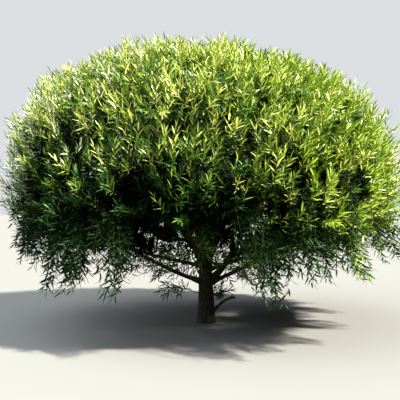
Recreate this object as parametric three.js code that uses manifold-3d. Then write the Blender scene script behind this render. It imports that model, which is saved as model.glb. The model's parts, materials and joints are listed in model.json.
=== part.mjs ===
// A globe-crowned crack willow: a short stout trunk, boughs that fan out from its low
// fork, and a dense domed crown of narrow leaves with a ragged, drooping hem.
// Units are millimetres, +Z is up, and the origin is the middle of the trunk's cut foot
// at ground level. -X is the left of the tree and -Y its front.

import * as THREE from 'three';
import { mergeVertices } from 'three/addons/utils/BufferGeometryUtils.js';
import Module from 'manifold-3d';

const wasm = await Module();
wasm.setup();

// Crown
const CROWN_HALF_WIDTH = 2400;
const CROWN_HALF_DEPTH = 2300;
const CROWN_SHIFT_LEFT = 40;
const WAIST_HEIGHT = 1600;
const DOME_HEIGHT = 1680;
const DOME_POWER = 2.3;
const LEFT_SHOULDER = 0.3;
const SKIRT_POWER = 4;
const HEM_HEIGHT = 650;
const LUMP_DEPTH = 0.014;
const LUMPS = [
  { round: 5, upward: 7, phase: 0 },
  { round: 9, upward: -11, phase: 2 },
];
const HOLLOW_RADIUS = 900;
const HOLLOW_SLOPE = 0.72;

// Where the hem rises or hangs lower. The first is the arch that shows the trunk from the front.
const HEM_WAVES = [
  { bearing: 266, rise: 420, halfAngle: 17 },
  { bearing: 228, rise: -300, halfAngle: 14 },
  { bearing: 294, rise: -310, halfAngle: 9 },
  { bearing: 322, rise: -130, halfAngle: 10 },
  { bearing: 196, rise: -230, halfAngle: 12 },
  { bearing: 150, rise: -140, halfAngle: 12 },
  { bearing: 92, rise: 300, halfAngle: 32 },
  { bearing: 30, rise: -160, halfAngle: 12 },
];

// Trunk
const TRUNK_HEIGHT = 980;
const TRUNK_FOOT_RADIUS = 100;
const TRUNK_FORK_RADIUS = 60;
const TRUNK_LEAN_LEFT = 10;
const TRUNK_SIDES = 16;
const TRUNK_STEPS = 9;
const FLARE_WIDTH = 20;
const FLARE_HEIGHT = 55;
const ROOT_LOBES = 5;
const ROOT_LOBE_DEPTH = 10;

// Limbs
const JOINT_GAP = 0.3;
const BOUGH_SIDES = 7;
const BOUGH_STEPS = 6;
const BOUGH_TIP_RADIUS = 15;
const TAPER_POWER = 0.8;
const COLLAR_SWELL = 0.32;
const COLLAR_LENGTH = 0.07;
const BEND_REACH = 0.36;

// Stems and twigs
const STEM_SIDES = 5;
const STEM_STEPS = 4;
const STEM_TIP_RADIUS = 5;
const STEM_REACH = 0.96;
const TWIG_SIDES = 3;
const TWIG_STEPS = 3;
const TWIG_ROOT_RADIUS = 10;
const TWIG_TIP_RADIUS = 4.5;
const TWIGS_PER_MASS = 13;
const TWIG_START = 0.7;
const TWIG_START_VARIES = 0.09;
const TWIG_SPREAD = 0.93;
const TWIG_REACH = 0.97;
const TWIG_REACH_VARIES = 0.07;
const LIFT_AT_WAIST = 0.42;
const LIFT_PER_RISE = 1.7;
const LEAST_LIFT = -0.75;
const MOST_LIFT = 0.6;
const SPACE_MARGIN = 6;
const SMALLEST_CHIP = 1.2;

// Leaves
const LEAVES_PER_TWIG = 3;
const FIRST_LEAF = 0.6;
const LAST_LEAF = 0.99;
const LEAF_SHIFT = 0.6;
const LEAF_LENGTH = 370;
const LEAF_LENGTH_VARIES = 0.3;
const LEAF_WIDTH_SHARE = 0.15;
const LEAF_KEEL_SHARE = 0.02;
const LEAF_WIDEST = 0.42;
const LEAF_CURL = 0.1;
const LEAF_ANGLE = 55;
const TIP_LEAF_ANGLE = 14;
const LEAF_TURN = 137.5;
const LEAF_RETURN = 51;
const LEAF_TRIES = 5;
const LEAF_SHRINK = 0.9;
const LEAF_FACES_UP = 0.4;
const LEAF_ROOT_SINK = 0.3;

// Cores
const CORE_BEARINGS = 12;
const CORE_RINGS = 4;
const CORE_MIDDLE = 0.76;
const CORE_HALF_DEPTH = 0.065;
const CORE_SQUARENESS = 0.35;
const CORE_SPREAD = 0.97;
const CORE_LUMP = 0.03;
const CORE_FLOOR = 1000;

// Colours
const BARK_COLOUR = 0x4a4238;
const SPUR_COLOUR = 0x6a6156;
const LEAF_COLOURS = [0x8fa52e, 0x7d9a2b, 0x9aae38];

const UP = new THREE.Vector3(0, 0, 1);
const HEART = new THREE.Vector3(-CROWN_SHIFT_LEFT, 0, WAIST_HEIGHT);
const GOLDEN_ANGLE = Math.PI * (3 - Math.sqrt(5));

/** A repeatable number from 0 to 1 for a list of whole-number keys. */
function chance(...keys) {
  let hash = 0x9e3779b9;
  for (const key of keys) {
    hash = Math.imul(hash ^ key, 0x85ebca6b);
    hash ^= hash >>> 13;
    hash = Math.imul(hash, 0xc2b2ae35);
    hash ^= hash >>> 16;
  }
  return (hash >>> 0) / 4294967296;
}

/** The unit vector at a bearing from +X and a slope above the horizon, in degrees. */
function heading(bearing, slope) {
  const turn = THREE.MathUtils.degToRad(bearing);
  const rise = THREE.MathUtils.degToRad(slope);
  return new THREE.Vector3(
    Math.cos(turn) * Math.cos(rise),
    Math.sin(turn) * Math.cos(rise),
    Math.sin(rise),
  );
}

/** How far the hem at a bearing, in degrees, stands above its usual height. */
function hemRise(bearing) {
  let rise = 0;
  for (const wave of HEM_WAVES) {
    const off = THREE.MathUtils.euclideanModulo(bearing - wave.bearing + 180, 360) - 180;
    rise += wave.rise * Math.exp(-((off / wave.halfAngle) ** 2));
  }
  return rise;
}

/** How far the crown reaches from its heart along a unit direction. */
function crownReach(direction) {
  const bearing = Math.atan2(direction.y, direction.x);
  const across = Math.hypot(direction.x / CROWN_HALF_WIDTH, direction.y / CROWN_HALF_DEPTH);
  let lumps = 0;
  for (const { round, upward, phase } of LUMPS) {
    lumps += LUMP_DEPTH * Math.sin(round * bearing + upward * direction.z + phase);
  }
  const swell = 1 + lumps * Math.sqrt(1 - direction.z * direction.z);
  const onDome = direction.z >= 0;
  const power = onDome ? DOME_POWER - LEFT_SHOULDER * Math.cos(bearing) : SKIRT_POWER;
  const hem = HEM_HEIGHT + hemRise(THREE.MathUtils.radToDeg(bearing));
  const depth = onDome ? DOME_HEIGHT : WAIST_HEIGHT - hem;
  const sum = across ** power + (Math.abs(direction.z) / depth) ** power;
  return swell * sum ** (-1 / power);
}

// The crown's tiers: the slope of their masses from the heart, and where their boughs end
const LOW = { slope: -9, tipRadius: 1120, tipHeight: 950, tipRise: 24 };
const HIGH = { slope: 36, tipRadius: 900, tipHeight: 1990, tipRise: 52 };
const TOP = { slope: 90, tipRadius: 0, tipHeight: 2230, tipRise: 90 };

// The boughs, each carrying one mass. They leave the trunk at a height, or another bough part
// of the way along it.
const BOUGHS = [
  { name: 'low_right', tier: LOW, bearing: 350, height: 425, rise: 27, radius: 27 },
  { name: 'low_back_right', tier: LOW, bearing: 35, from: 'high_right', at: 0.22, rise: 24, radius: 21 },
  { name: 'low_back', tier: LOW, bearing: 80, height: 560, rise: 26, radius: 27 },
  { name: 'low_back_left', tier: LOW, bearing: 125, from: 'high_back_left', at: 0.2, rise: 22, radius: 21 },
  { name: 'low_left', tier: LOW, bearing: 174, height: 462, rise: 14, radius: 29 },
  { name: 'low_front_left', tier: LOW, bearing: 220, height: 640, rise: 18, radius: 24 },
  { name: 'low_front', tier: LOW, bearing: 264, from: 'high_front_left', at: 0.18, rise: 30, radius: 21 },
  { name: 'low_front_right', tier: LOW, bearing: 307, height: 590, rise: 22, radius: 25 },
  { name: 'high_right', tier: HIGH, bearing: 14, height: 440, rise: 36, radius: 42 },
  { name: 'high_back_right', tier: HIGH, bearing: 72, height: 790, rise: 46, radius: 33 },
  { name: 'high_back_left', tier: HIGH, bearing: 134, height: 660, rise: 42, radius: 37 },
  { name: 'high_left', tier: HIGH, bearing: 196, height: 750, rise: 44, radius: 34 },
  { name: 'high_front_left', tier: HIGH, bearing: 252, height: 730, rise: 44, radius: 35 },
  { name: 'high_front_right', tier: HIGH, bearing: 314, height: 850, rise: 48, radius: 33 },
  { name: 'top', tier: TOP, bearing: 0, height: TRUNK_HEIGHT, rise: 90, radius: TRUNK_FORK_RADIUS },
];

// Sparse leafy shoots low on the trunk, and a bare dead spur at its foot
const SHOOTS = [
  { name: 'left', bearing: 186, height: 290, rise: 28, length: 500, droop: 120, leafLength: 110 },
  { name: 'right', bearing: 338, height: 245, rise: 30, length: 215, droop: 15, leafLength: 85 },
];
const SHOOT_RADIUS = 8;
const SHOOT_TWIG_RADIUS = 5;
const SHOOT_TWIGS = [
  { along: 0.55, turn: 48, rise: 12 },
  { along: 0.67, turn: -48, rise: 0 },
];
const SHOOT_TWIG_SHARE = 0.35;
const SPUR = { bearing: 356, height: 30, rise: 45, length: 482, droop: 81, radius: 17, tipRadius: 8 };
const SPUR_STUB = { along: 0.8, length: 70, radius: 8, tipRadius: 5, rise: 40 };

/** The masses' seeds: the direction from the heart to the middle of each one's space. */
const SEEDS = BOUGHS.map(({ tier, bearing }) => heading(bearing, tier.slope));

/** A closed manifold solid from a geometry, with its shared corners merged. */
function solidFrom(geometry) {
  geometry.deleteAttribute('normal');
  geometry.deleteAttribute('uv');
  const merged = mergeVertices(geometry, 0.001);
  return new wasm.Manifold(
    new wasm.Mesh({
      numProp: 3,
      vertProperties: merged.attributes.position.array,
      triVerts: new Uint32Array(merged.index.array),
    }),
  );
}

/** The largest closed body of a solid, with loose scraps and sealed hollows dropped. */
function mainBody(solid) {
  const bodies = solid.decompose();
  return bodies.reduce((best, body) => (body.volume() > best.volume() ? body : best));
}

/** A mesh that shows a solid under a plain name. */
function meshOf(name, solid, colour, roughness) {
  const { vertProperties, triVerts } = mainBody(solid).getMesh();
  const geometry = new THREE.BufferGeometry();
  geometry.setAttribute('position', new THREE.BufferAttribute(vertProperties, 3));
  geometry.setIndex(new THREE.BufferAttribute(triVerts, 1));
  geometry.computeVertexNormals();
  const material = new THREE.MeshStandardMaterial({ color: colour, roughness, metalness: 0 });
  const mesh = new THREE.Mesh(geometry, material);
  mesh.name = name;
  return mesh;
}

/** A cylinder bent along a path, its radius following radiusAt(share of length, turn). */
function limbSolid(path, radiusAt, sides, steps) {
  const geometry = new THREE.CylinderGeometry(1, 1, 1, sides, steps);
  const frames = path.computeFrenetFrames(steps, false);
  const corners = geometry.attributes.position;
  for (let i = 0; i < corners.count; i++) {
    const step = Math.round((corners.getY(i) + 0.5) * steps);
    const x = corners.getX(i);
    const z = corners.getZ(i);
    const radius = radiusAt(step / steps, Math.atan2(x, z));
    const corner = path
      .getPointAt(step / steps)
      .addScaledVector(frames.binormals[step], x * radius)
      .addScaledVector(frames.normals[step], z * radius);
    corners.setXYZ(i, corner.x, corner.y, corner.z);
  }
  return solidFrom(geometry);
}

/** A smooth path that leaves start along one direction and arrives at end along another. */
function limbPath(start, leaving, end, arriving) {
  const bend = BEND_REACH * start.distanceTo(end);
  return new THREE.CubicBezierCurve3(
    start,
    start.clone().addScaledVector(leaving, bend),
    end.clone().addScaledVector(arriving, -bend),
    end,
  );
}

/** A radius that narrows evenly along a limb, thickened all over by grow. */
function evenTaper(root, tip, grow = 0) {
  return (share) => root + (tip - root) * share + grow;
}

/** A radius that narrows along a limb from a swollen collar, thickened all over by grow. */
function collaredTaper(root, tip, grow = 0) {
  return (share) => {
    const collar = 1 + COLLAR_SWELL * Math.exp(-share / COLLAR_LENGTH);
    return (root + (tip - root) * share ** TAPER_POWER) * collar + grow;
  };
}

const trunkPath = limbPath(
  new THREE.Vector3(0, 0, 0),
  UP,
  new THREE.Vector3(-TRUNK_LEAN_LEFT, 0, TRUNK_HEIGHT),
  UP,
);

/** The trunk, cut flat at the ground, with its root flare and its taper to the fork. */
function trunkSolid(grow = 0) {
  const radiusAt = (share, turn) => {
    const flare = Math.exp((-share * TRUNK_HEIGHT) / FLARE_HEIGHT);
    const lobes = ROOT_LOBE_DEPTH * Math.cos(ROOT_LOBES * turn);
    const straight = TRUNK_FOOT_RADIUS + (TRUNK_FORK_RADIUS - TRUNK_FOOT_RADIUS) * share;
    return straight + (FLARE_WIDTH + lobes) * flare + grow;
  };
  return limbSolid(trunkPath, radiusAt, TRUNK_SIDES, TRUNK_STEPS);
}

/** The point on the trunk's axis at a height. */
function trunkAxis(height) {
  return trunkPath.getPointAt(height / TRUNK_HEIGHT);
}

/** A bough's path, from its parent's axis to the place where its mass begins. */
function boughPath({ name, tier, bearing, height, from, at, rise }) {
  const start = from ? boughPaths.get(from).getPointAt(at) : trunkAxis(height);
  if (name === 'top') start.z += JOINT_GAP;
  const end = heading(bearing, 0).multiplyScalar(tier.tipRadius).setZ(tier.tipHeight);
  return limbPath(start, heading(bearing, rise), end, heading(bearing, tier.tipRise));
}

const boughPaths = new Map();
const parentsFirst = [...BOUGHS].sort((a, b) => Number('from' in a) - Number('from' in b));
for (const bough of parentsFirst) boughPaths.set(bough.name, boughPath(bough));

/** A bough's tube, thickened by grow where it clears room in its neighbours. */
function boughTube({ name, radius }, grow = 0) {
  const taper = name === 'top' ? evenTaper : collaredTaper;
  const radiusAt = taper(radius, BOUGH_TIP_RADIUS, grow);
  return limbSolid(boughPaths.get(name), radiusAt, BOUGH_SIDES, BOUGH_STEPS);
}

/** All boughs as solids, thickest first, each cut clear of the trunk and of those before it. */
function boughSolids() {
  const placed = [trunkSolid(JOINT_GAP)];
  const solids = new Map();
  for (const bough of [...BOUGHS].sort((a, b) => b.radius - a.radius)) {
    const neighbours = bough.name === 'top' ? placed.slice(1) : placed;
    const cut = neighbours.reduce((solid, other) => solid.subtract(other), boughTube(bough));
    solids.set(bough.name, mainBody(cut));
    placed.push(boughTube(bough, JOINT_GAP));
  }
  return solids;
}

/** How far a point lies inside a mass's own space, from the nearest neighbour's edge. */
function spaceClearance(index, point) {
  const fromHeart = point.clone().sub(HEART);
  let clearance = Infinity;
  SEEDS.forEach((seed, other) => {
    if (other === index) return;
    const wall = SEEDS[index].clone().sub(seed).normalize();
    clearance = Math.min(clearance, fromHeart.dot(wall));
  });
  if (fromHeart.z >= 0) return clearance;
  const fromAxis = Math.hypot(fromHeart.x, fromHeart.y);
  const outOfHollow = Math.min(fromAxis - HOLLOW_RADIUS, fromHeart.z + HOLLOW_SLOPE * fromAxis);
  return Math.min(clearance, outOfHollow);
}

/** Whether a point keeps to a mass's space and to the crown's outline. */
function inSpace(index, point) {
  const fromHeart = point.clone().sub(HEART);
  const distance = fromHeart.length();
  const reach = crownReach(fromHeart.divideScalar(distance));
  return distance <= reach && spaceClearance(index, point) >= SPACE_MARGIN;
}

/** The direction at an angle off a mass's seed, at a bearing round it. */
function offSeed(index, bearing, angle) {
  const seed = SEEDS[index];
  const sideways = new THREE.Vector3().crossVectors(UP, seed);
  if (sideways.length() < 0.01) sideways.set(0, 1, 0);
  sideways.normalize();
  const upward = new THREE.Vector3().crossVectors(seed, sideways);
  return seed
    .clone()
    .multiplyScalar(Math.cos(angle))
    .addScaledVector(sideways, Math.sin(angle) * Math.cos(bearing))
    .addScaledVector(upward, Math.sin(angle) * Math.sin(bearing));
}

/** The widest angle off a mass's seed, at a bearing round it, that passes a test. */
function widestAngle(index, bearing, passes) {
  let inside = 0;
  let outside = Math.PI / 2;
  for (let halving = 0; halving < 16; halving++) {
    const middle = (inside + outside) / 2;
    if (passes(offSeed(index, bearing, middle))) inside = middle;
    else outside = middle;
  }
  return inside;
}

/** The point in a direction from the heart at a share of the crown's reach. */
function crownPoint(direction, share) {
  return HEART.clone().addScaledVector(direction, crownReach(direction) * share);
}

/** The way a shoot points at its tip: up and out on the dome, drooping at the hem. */
function shootHeading(direction) {
  const rising = LIFT_AT_WAIST + LIFT_PER_RISE * direction.z;
  const lift = THREE.MathUtils.clamp(rising, LEAST_LIFT, MOST_LIFT);
  return direction.clone().addScaledVector(UP, lift).normalize();
}

/** A mass's stem, from 0.3 mm beyond its bough's tip to the crown's surface. */
function stemPath(index) {
  const bough = boughPaths.get(BOUGHS[index].name);
  const leaving = bough.getTangentAt(1);
  const start = bough.getPointAt(1).addScaledVector(leaving, JOINT_GAP);
  const end = crownPoint(SEEDS[index], STEM_REACH);
  return limbPath(start, leaving, end, shootHeading(SEEDS[index]));
}

/** The path of one of a mass's twigs, which share the mass's surface evenly. */
function twigPath(index, number, stem) {
  const bearing = number * GOLDEN_ANGLE + 2 * Math.PI * chance(index, 0);
  const spread = Math.sqrt((number + 0.5) / TWIGS_PER_MASS);
  const nearest = TWIG_START * crownReach(SEEDS[index]);
  const passes = (direction) =>
    crownReach(direction) >= nearest && spaceClearance(index, crownPoint(direction, 1)) >= 0;
  const angle = TWIG_SPREAD * spread * widestAngle(index, bearing, passes);
  const direction = offSeed(index, bearing, angle);
  const end = crownPoint(direction, TWIG_REACH - TWIG_REACH_VARIES * chance(index, number, 1));
  const tipShare = stem.getPointAt(0).distanceTo(HEART) / crownReach(SEEDS[index]);
  const startShare = TWIG_START + TWIG_START_VARIES * (1 - spread * chance(index, number, 2));
  const along = (startShare - tipShare) / (STEM_REACH - tipShare);
  const start = stem.getPointAt(along);
  const leaving = end.clone().sub(start).normalize().add(stem.getTangentAt(along)).normalize();
  return limbPath(start, leaving, end, shootHeading(direction));
}

/** A leaf folded along its keeled midrib, its root sunk in its twig, and its corners. */
function leafSolid(root, direction, facing, length) {
  const normal = facing.clone().addScaledVector(direction, -facing.dot(direction)).normalize();
  const across = new THREE.Vector3().crossVectors(normal, direction);
  const geometry = new THREE.SphereGeometry(1, 3, 2);
  const corners = geometry.attributes.position;
  const places = [];
  for (let i = 0; i < corners.count; i++) {
    const [x, y, z] = [corners.getX(i), corners.getY(i), corners.getZ(i)];
    const along = Math.abs(y) > 0.5 ? (y + 1) / 2 : LEAF_WIDEST;
    const curl = Math.abs(y) > 0.5 ? -LEAF_CURL * along : 0;
    const place = root
      .clone()
      .addScaledVector(direction, along * length)
      .addScaledVector(normal, (curl + x * LEAF_KEEL_SHARE) * length)
      .addScaledVector(across, z * LEAF_WIDTH_SHARE * length);
    corners.setXYZ(i, place.x, place.y, place.z);
    places.push(place);
  }
  return { solid: solidFrom(geometry), places };
}

/** The leaves that fit along one twig, each turned on from the last by a fixed angle. */
function leavesOn({ path, radiusAt, key, leafLength, fits }) {
  const found = [];
  for (let number = 0; number < LEAVES_PER_TWIG; number++) {
    const shift = LEAF_SHIFT * chance(...key, number, 4);
    const share = (number + shift) / (LEAVES_PER_TWIG - 1 + LEAF_SHIFT);
    const along = FIRST_LEAF + (LAST_LEAF - FIRST_LEAF) * share;
    const tangent = path.getTangentAt(along);
    const sideways = new THREE.Vector3().crossVectors(tangent, UP).normalize();
    const facing = tangent.clone().addScaledVector(UP, LEAF_FACES_UP);
    const atTip = number === LEAVES_PER_TWIG - 1;
    const lean = THREE.MathUtils.degToRad(atTip ? TIP_LEAF_ANGLE : LEAF_ANGLE);
    const fullLength = leafLength * (1 + LEAF_LENGTH_VARIES * (chance(...key, number, 5) - 0.5));
    for (let attempt = 0; attempt < LEAF_TRIES; attempt++) {
      const turn = LEAF_TURN * number + LEAF_RETURN * attempt + 360 * chance(...key, 6);
      const outward = sideways.clone().applyAxisAngle(tangent, THREE.MathUtils.degToRad(turn));
      const direction = tangent.clone().multiplyScalar(Math.cos(lean));
      direction.addScaledVector(outward, Math.sin(lean));
      const root = path.getPointAt(along);
      root.addScaledVector(direction, -LEAF_ROOT_SINK * radiusAt(along));
      const leaf = leafSolid(root, direction, facing, fullLength * LEAF_SHRINK ** attempt);
      if (leaf.places.every(fits)) {
        found.push(leaf.solid);
        break;
      }
    }
  }
  return found;
}

/** The limb of one stem or twig and the leaves along it, as solids. */
function leafyTwig(twig) {
  const limb = limbSolid(twig.path, twig.radiusAt, twig.sides, twig.steps);
  return [limb, ...leavesOn(twig)];
}

/** The dense smaller core of a mass: a pillow that fills its space short of the surface. */
function coreSolid(index) {
  const passes = (direction) => {
    const place = crownPoint(direction, CORE_MIDDLE);
    return place.z >= CORE_FLOOR && spaceClearance(index, place) >= SPACE_MARGIN;
  };
  const geometry = new THREE.SphereGeometry(1, CORE_BEARINGS, CORE_RINGS);
  const corners = geometry.attributes.position;
  for (let i = 0; i < corners.count; i++) {
    const ring = Math.floor(i / (CORE_BEARINGS + 1));
    const atPole = ring === 0 || ring === CORE_RINGS;
    const step = atPole ? 0 : (i % (CORE_BEARINGS + 1)) % CORE_BEARINGS;
    const turn = (2 * Math.PI * step) / CORE_BEARINGS;
    const y = Math.cos((Math.PI * ring) / CORE_RINGS);
    const spread = atPole ? 0 : CORE_SPREAD * (1 - y * y) ** CORE_SQUARENESS;
    const height = CORE_HALF_DEPTH * Math.sign(y) * (y * y) ** CORE_SQUARENESS;
    const lump = CORE_LUMP * (chance(index, step, ring) - 0.5);
    const direction = offSeed(index, turn, spread * widestAngle(index, turn, passes));
    const corner = crownPoint(direction, CORE_MIDDLE + height + lump);
    corners.setXYZ(i, corner.x, corner.y, corner.z);
  }
  return solidFrom(geometry);
}

/** A mass of foliage: its stem, twigs, leaves and core fused into one solid. */
function foliageSolid(index) {
  const common = { leafLength: LEAF_LENGTH, fits: (point) => inSpace(index, point) };
  const stem = stemPath(index);
  const pieces = leafyTwig({
    ...common,
    path: stem,
    radiusAt: evenTaper(BOUGH_TIP_RADIUS, STEM_TIP_RADIUS),
    sides: STEM_SIDES,
    steps: STEM_STEPS,
    key: [index, TWIGS_PER_MASS],
  });
  for (let number = 0; number < TWIGS_PER_MASS; number++) {
    const twig = {
      ...common,
      path: twigPath(index, number, stem),
      radiusAt: evenTaper(TWIG_ROOT_RADIUS, TWIG_TIP_RADIUS),
      sides: TWIG_SIDES,
      steps: TWIG_STEPS,
      key: [index, number],
    };
    pieces.push(...leafyTwig(twig));
  }
  return wasm.Manifold.union([coreSolid(index), ...pieces]).simplify(SMALLEST_CHIP);
}

/** A path from the trunk's axis that has sunk below its first heading by its droop. */
function sidePath({ bearing, height, rise, length, droop }) {
  const leaving = heading(bearing, rise);
  const end = trunkAxis(height).addScaledVector(leaving, length);
  end.z -= droop;
  return limbPath(trunkAxis(height), leaving, end, heading(bearing, 0));
}

/** A sparse leafy shoot that starts 0.3 mm clear of the trunk. */
function shootSolid(shoot, index) {
  const common = { leafLength: shoot.leafLength, steps: TWIG_STEPS, fits: () => true };
  const stem = sidePath(shoot);
  const pieces = leafyTwig({
    ...common,
    path: stem,
    radiusAt: evenTaper(SHOOT_RADIUS, TWIG_TIP_RADIUS),
    sides: STEM_SIDES,
    key: [BOUGHS.length + index, SHOOT_TWIGS.length],
  });
  SHOOT_TWIGS.forEach(({ along, turn, rise }, number) => {
    const start = stem.getPointAt(along);
    const leaving = heading(shoot.bearing + turn, rise);
    const end = start.clone().addScaledVector(leaving, SHOOT_TWIG_SHARE * shoot.length);
    const twig = {
      ...common,
      path: limbPath(start, stem.getTangentAt(along), end, leaving),
      radiusAt: evenTaper(SHOOT_TWIG_RADIUS, TWIG_TIP_RADIUS),
      sides: TWIG_SIDES,
      key: [BOUGHS.length + index, number],
    };
    pieces.push(...leafyTwig(twig));
  });
  return wasm.Manifold.union(pieces).simplify(SMALLEST_CHIP).subtract(trunkSolid(JOINT_GAP));
}

/** The dead spur at the trunk's foot, with the stub of its broken side branch. */
function spurSolid() {
  const path = sidePath(SPUR);
  const spurRadius = collaredTaper(SPUR.radius, SPUR.tipRadius);
  const spur = limbSolid(path, spurRadius, STEM_SIDES, STEM_STEPS);
  const start = path.getPointAt(SPUR_STUB.along);
  const end = start.clone().addScaledVector(heading(SPUR.bearing, SPUR_STUB.rise), SPUR_STUB.length);
  const stubRadius = evenTaper(SPUR_STUB.radius, SPUR_STUB.tipRadius);
  const stub = limbSolid(new THREE.LineCurve3(start, end), stubRadius, STEM_SIDES, 1);
  return spur.add(stub).subtract(trunkSolid(JOINT_GAP));
}

const tree = new THREE.Group();
tree.name = 'crack_willow_tree';
const wood = new THREE.Group();
const foliage = new THREE.Group();
tree.add(wood, foliage);

wood.add(meshOf('trunk', trunkSolid(), BARK_COLOUR, 0.9));
wood.add(meshOf('low_spur', spurSolid(), SPUR_COLOUR, 0.85));
for (const [name, solid] of boughSolids()) {
  wood.add(meshOf(`bough_${name}`, solid, BARK_COLOUR, 0.85));
}
BOUGHS.forEach(({ name }, index) => {
  const colour = LEAF_COLOURS[index % LEAF_COLOURS.length];
  foliage.add(meshOf(`foliage_${name}`, foliageSolid(index), colour, 0.45));
});
SHOOTS.forEach((shoot, index) => {
  foliage.add(meshOf(`shoot_${shoot.name}`, shootSolid(shoot, index), LEAF_COLOURS[1], 0.45));
});

export default tree;
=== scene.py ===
"""The looks of a globe-crowned crack willow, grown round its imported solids.

Each limb gets a skin of furrowed bark, and each mass of foliage is replaced by twigs, shoots and
leaves that grow on from the limbs by the rule that the solids were made with. Units are metres,
+Z is up, -X is the left of the tree and -Y its front.
"""

import json
import logging
import math
from collections.abc import Callable, Sequence
from dataclasses import dataclass, field, replace
from enum import Enum, IntEnum

import bpy
import numpy as np
from numpy.typing import NDArray
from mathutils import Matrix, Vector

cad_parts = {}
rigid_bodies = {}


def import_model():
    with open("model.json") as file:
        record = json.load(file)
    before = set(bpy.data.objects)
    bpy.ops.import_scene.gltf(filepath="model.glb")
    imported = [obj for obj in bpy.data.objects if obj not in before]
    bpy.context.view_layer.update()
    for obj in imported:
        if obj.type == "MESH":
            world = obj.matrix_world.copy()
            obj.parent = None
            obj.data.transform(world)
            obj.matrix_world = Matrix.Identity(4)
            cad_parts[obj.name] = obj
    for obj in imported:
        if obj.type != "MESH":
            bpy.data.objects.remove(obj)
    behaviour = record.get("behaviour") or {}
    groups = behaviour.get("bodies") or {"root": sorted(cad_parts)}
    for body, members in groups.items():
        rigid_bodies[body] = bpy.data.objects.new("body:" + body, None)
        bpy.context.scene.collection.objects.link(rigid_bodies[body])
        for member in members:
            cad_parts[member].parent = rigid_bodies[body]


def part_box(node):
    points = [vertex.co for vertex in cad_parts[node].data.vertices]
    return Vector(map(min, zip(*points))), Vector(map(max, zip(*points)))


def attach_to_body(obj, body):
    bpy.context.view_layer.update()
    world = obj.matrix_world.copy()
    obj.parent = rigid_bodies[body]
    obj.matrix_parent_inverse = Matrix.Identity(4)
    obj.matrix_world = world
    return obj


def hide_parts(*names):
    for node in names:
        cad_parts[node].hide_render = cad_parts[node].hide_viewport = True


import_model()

Floats = NDArray[np.float64]
Whole = NDArray[np.int64]
Colour = tuple[float, float, float]
Sockets = dict[str, float | tuple[float, ...]]

BODY = "root"
UP = np.array([0.0, 0.0, 1.0])
GOLDEN_TURN = math.pi * (3 - math.sqrt(5))
# A curve's inner control points lie this share of its span from its ends
BEND_REACH = 0.36
# A length this small counts as nothing, and a direction this near upright as upright
TINY = 1e-12
NEARLY_UPRIGHT = 0.01
# How often the search for the edge of a mass halves its step
HALVINGS = 16
# Room among the whole-number keys for one mass's sprigs or one lobe, for clumps and in a clump
KEYS_PER_GROUP = 100
CLUMPS_PER_MASS = 1000
KEYS_PER_CLUMP = 10
# Keeps the rows of the bark's noise above 0, because keys are never less than 0
NOISE_ORIGIN = 1000
# The mixing of keys that every random draw comes from
HASH_START = np.uint64(0x9E3779B9)
HASH_MASK = np.uint64(0xFFFFFFFF)
HASH_ROUNDS = ((np.uint64(0x85EBCA6B), np.uint64(13)), (np.uint64(0xC2B2AE35), np.uint64(16)))

log = logging.getLogger("willow")


class Draw(IntEnum):
    """What each random draw decides, as the salt that keeps it apart from the others."""

    TWIG_TURN = 0
    TWIG_REACH = 1
    TWIG_START = 2
    LEAF_PLACE = 11
    LEAF_FIRST_TURN = 12
    LEAF_TURN = 13
    LEAF_LEAN = 14
    LEAF_ROLL = 15
    LEAF_SIZE = 16
    BRANCHLET_EVENNESS = 21
    BRANCHLET_REACH = 22
    BRANCHLET_CLOSENESS = 23
    SHOOT_PLACE = 31
    CLUMP_TURN = 32
    SHOOT_LEAN = 33
    SHOOT_LENGTH = 34
    SHOOT_REACH = 35
    CLUMP_REACH = 36
    SHOOT_CLOSENESS = 37
    SHOOT_TONE = 41
    SHOOT_LEAF_SCALE = 42
    PAINTED_GLINT = 43
    PAINTED_HEM_SHADE = 44
    HANGING_TONE = 45
    PAINTED_SUN = 46
    SPRIG_PLACE = 51
    SPRIG_TURN = 52
    SPRIG_DROOP = 53
    SPRIG_LENGTH = 54
    LOW_SHOOT_TONE = 61
    HANGING_SIDE = 71
    HANGING_OTHER_SIDE = 72
    HANGING_RADIUS = 73
    HANGING_HEIGHT = 74
    HANGING_LEAF_SCALE = 75
    HANGING_ASIDE = 76
    HANGING_OUTWARD = 77


class KeyBase(IntEnum):
    """Where the whole-number keys of each kind of shoot begin."""

    CARRIER = 800000
    LIMB = 850000
    SPRIG = 900000
    LOW_SHOOT = 950000
    HANGING = 970000


def chance(*keys: int | Whole) -> Floats:
    """A repeatable number from 0 to 1 for each row of whole-number keys.

    Args:
        keys: Whole numbers or arrays of them, which broadcast against each other.

    Returns:
        One number for each row of keys.
    """
    value = HASH_START
    for key in keys:
        value = value ^ np.asarray(key, np.uint64)
        for factor, shift in HASH_ROUNDS:
            value = (value * factor) & HASH_MASK
            value = value ^ (value >> shift)
    return value.astype(float) / 2**32


def unit(vectors: Floats) -> Floats:
    """Each vector at a length of one."""
    return vectors / np.maximum(np.linalg.norm(vectors, axis=-1, keepdims=True), TINY)


def ramp(value: Floats, start: float, run: float) -> Floats:
    """A share that rises from 0 at a start to 1 after a run."""
    return np.clip((value - start) / run, 0, 1)


def heading(bearing: float, slope: float) -> Floats:
    """The unit vector at a bearing from +X and a slope above the horizon, in degrees."""
    turn, rise = math.radians(bearing), math.radians(slope)
    return np.array([math.cos(turn) * math.cos(rise), math.sin(turn) * math.cos(rise), math.sin(rise)])


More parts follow.
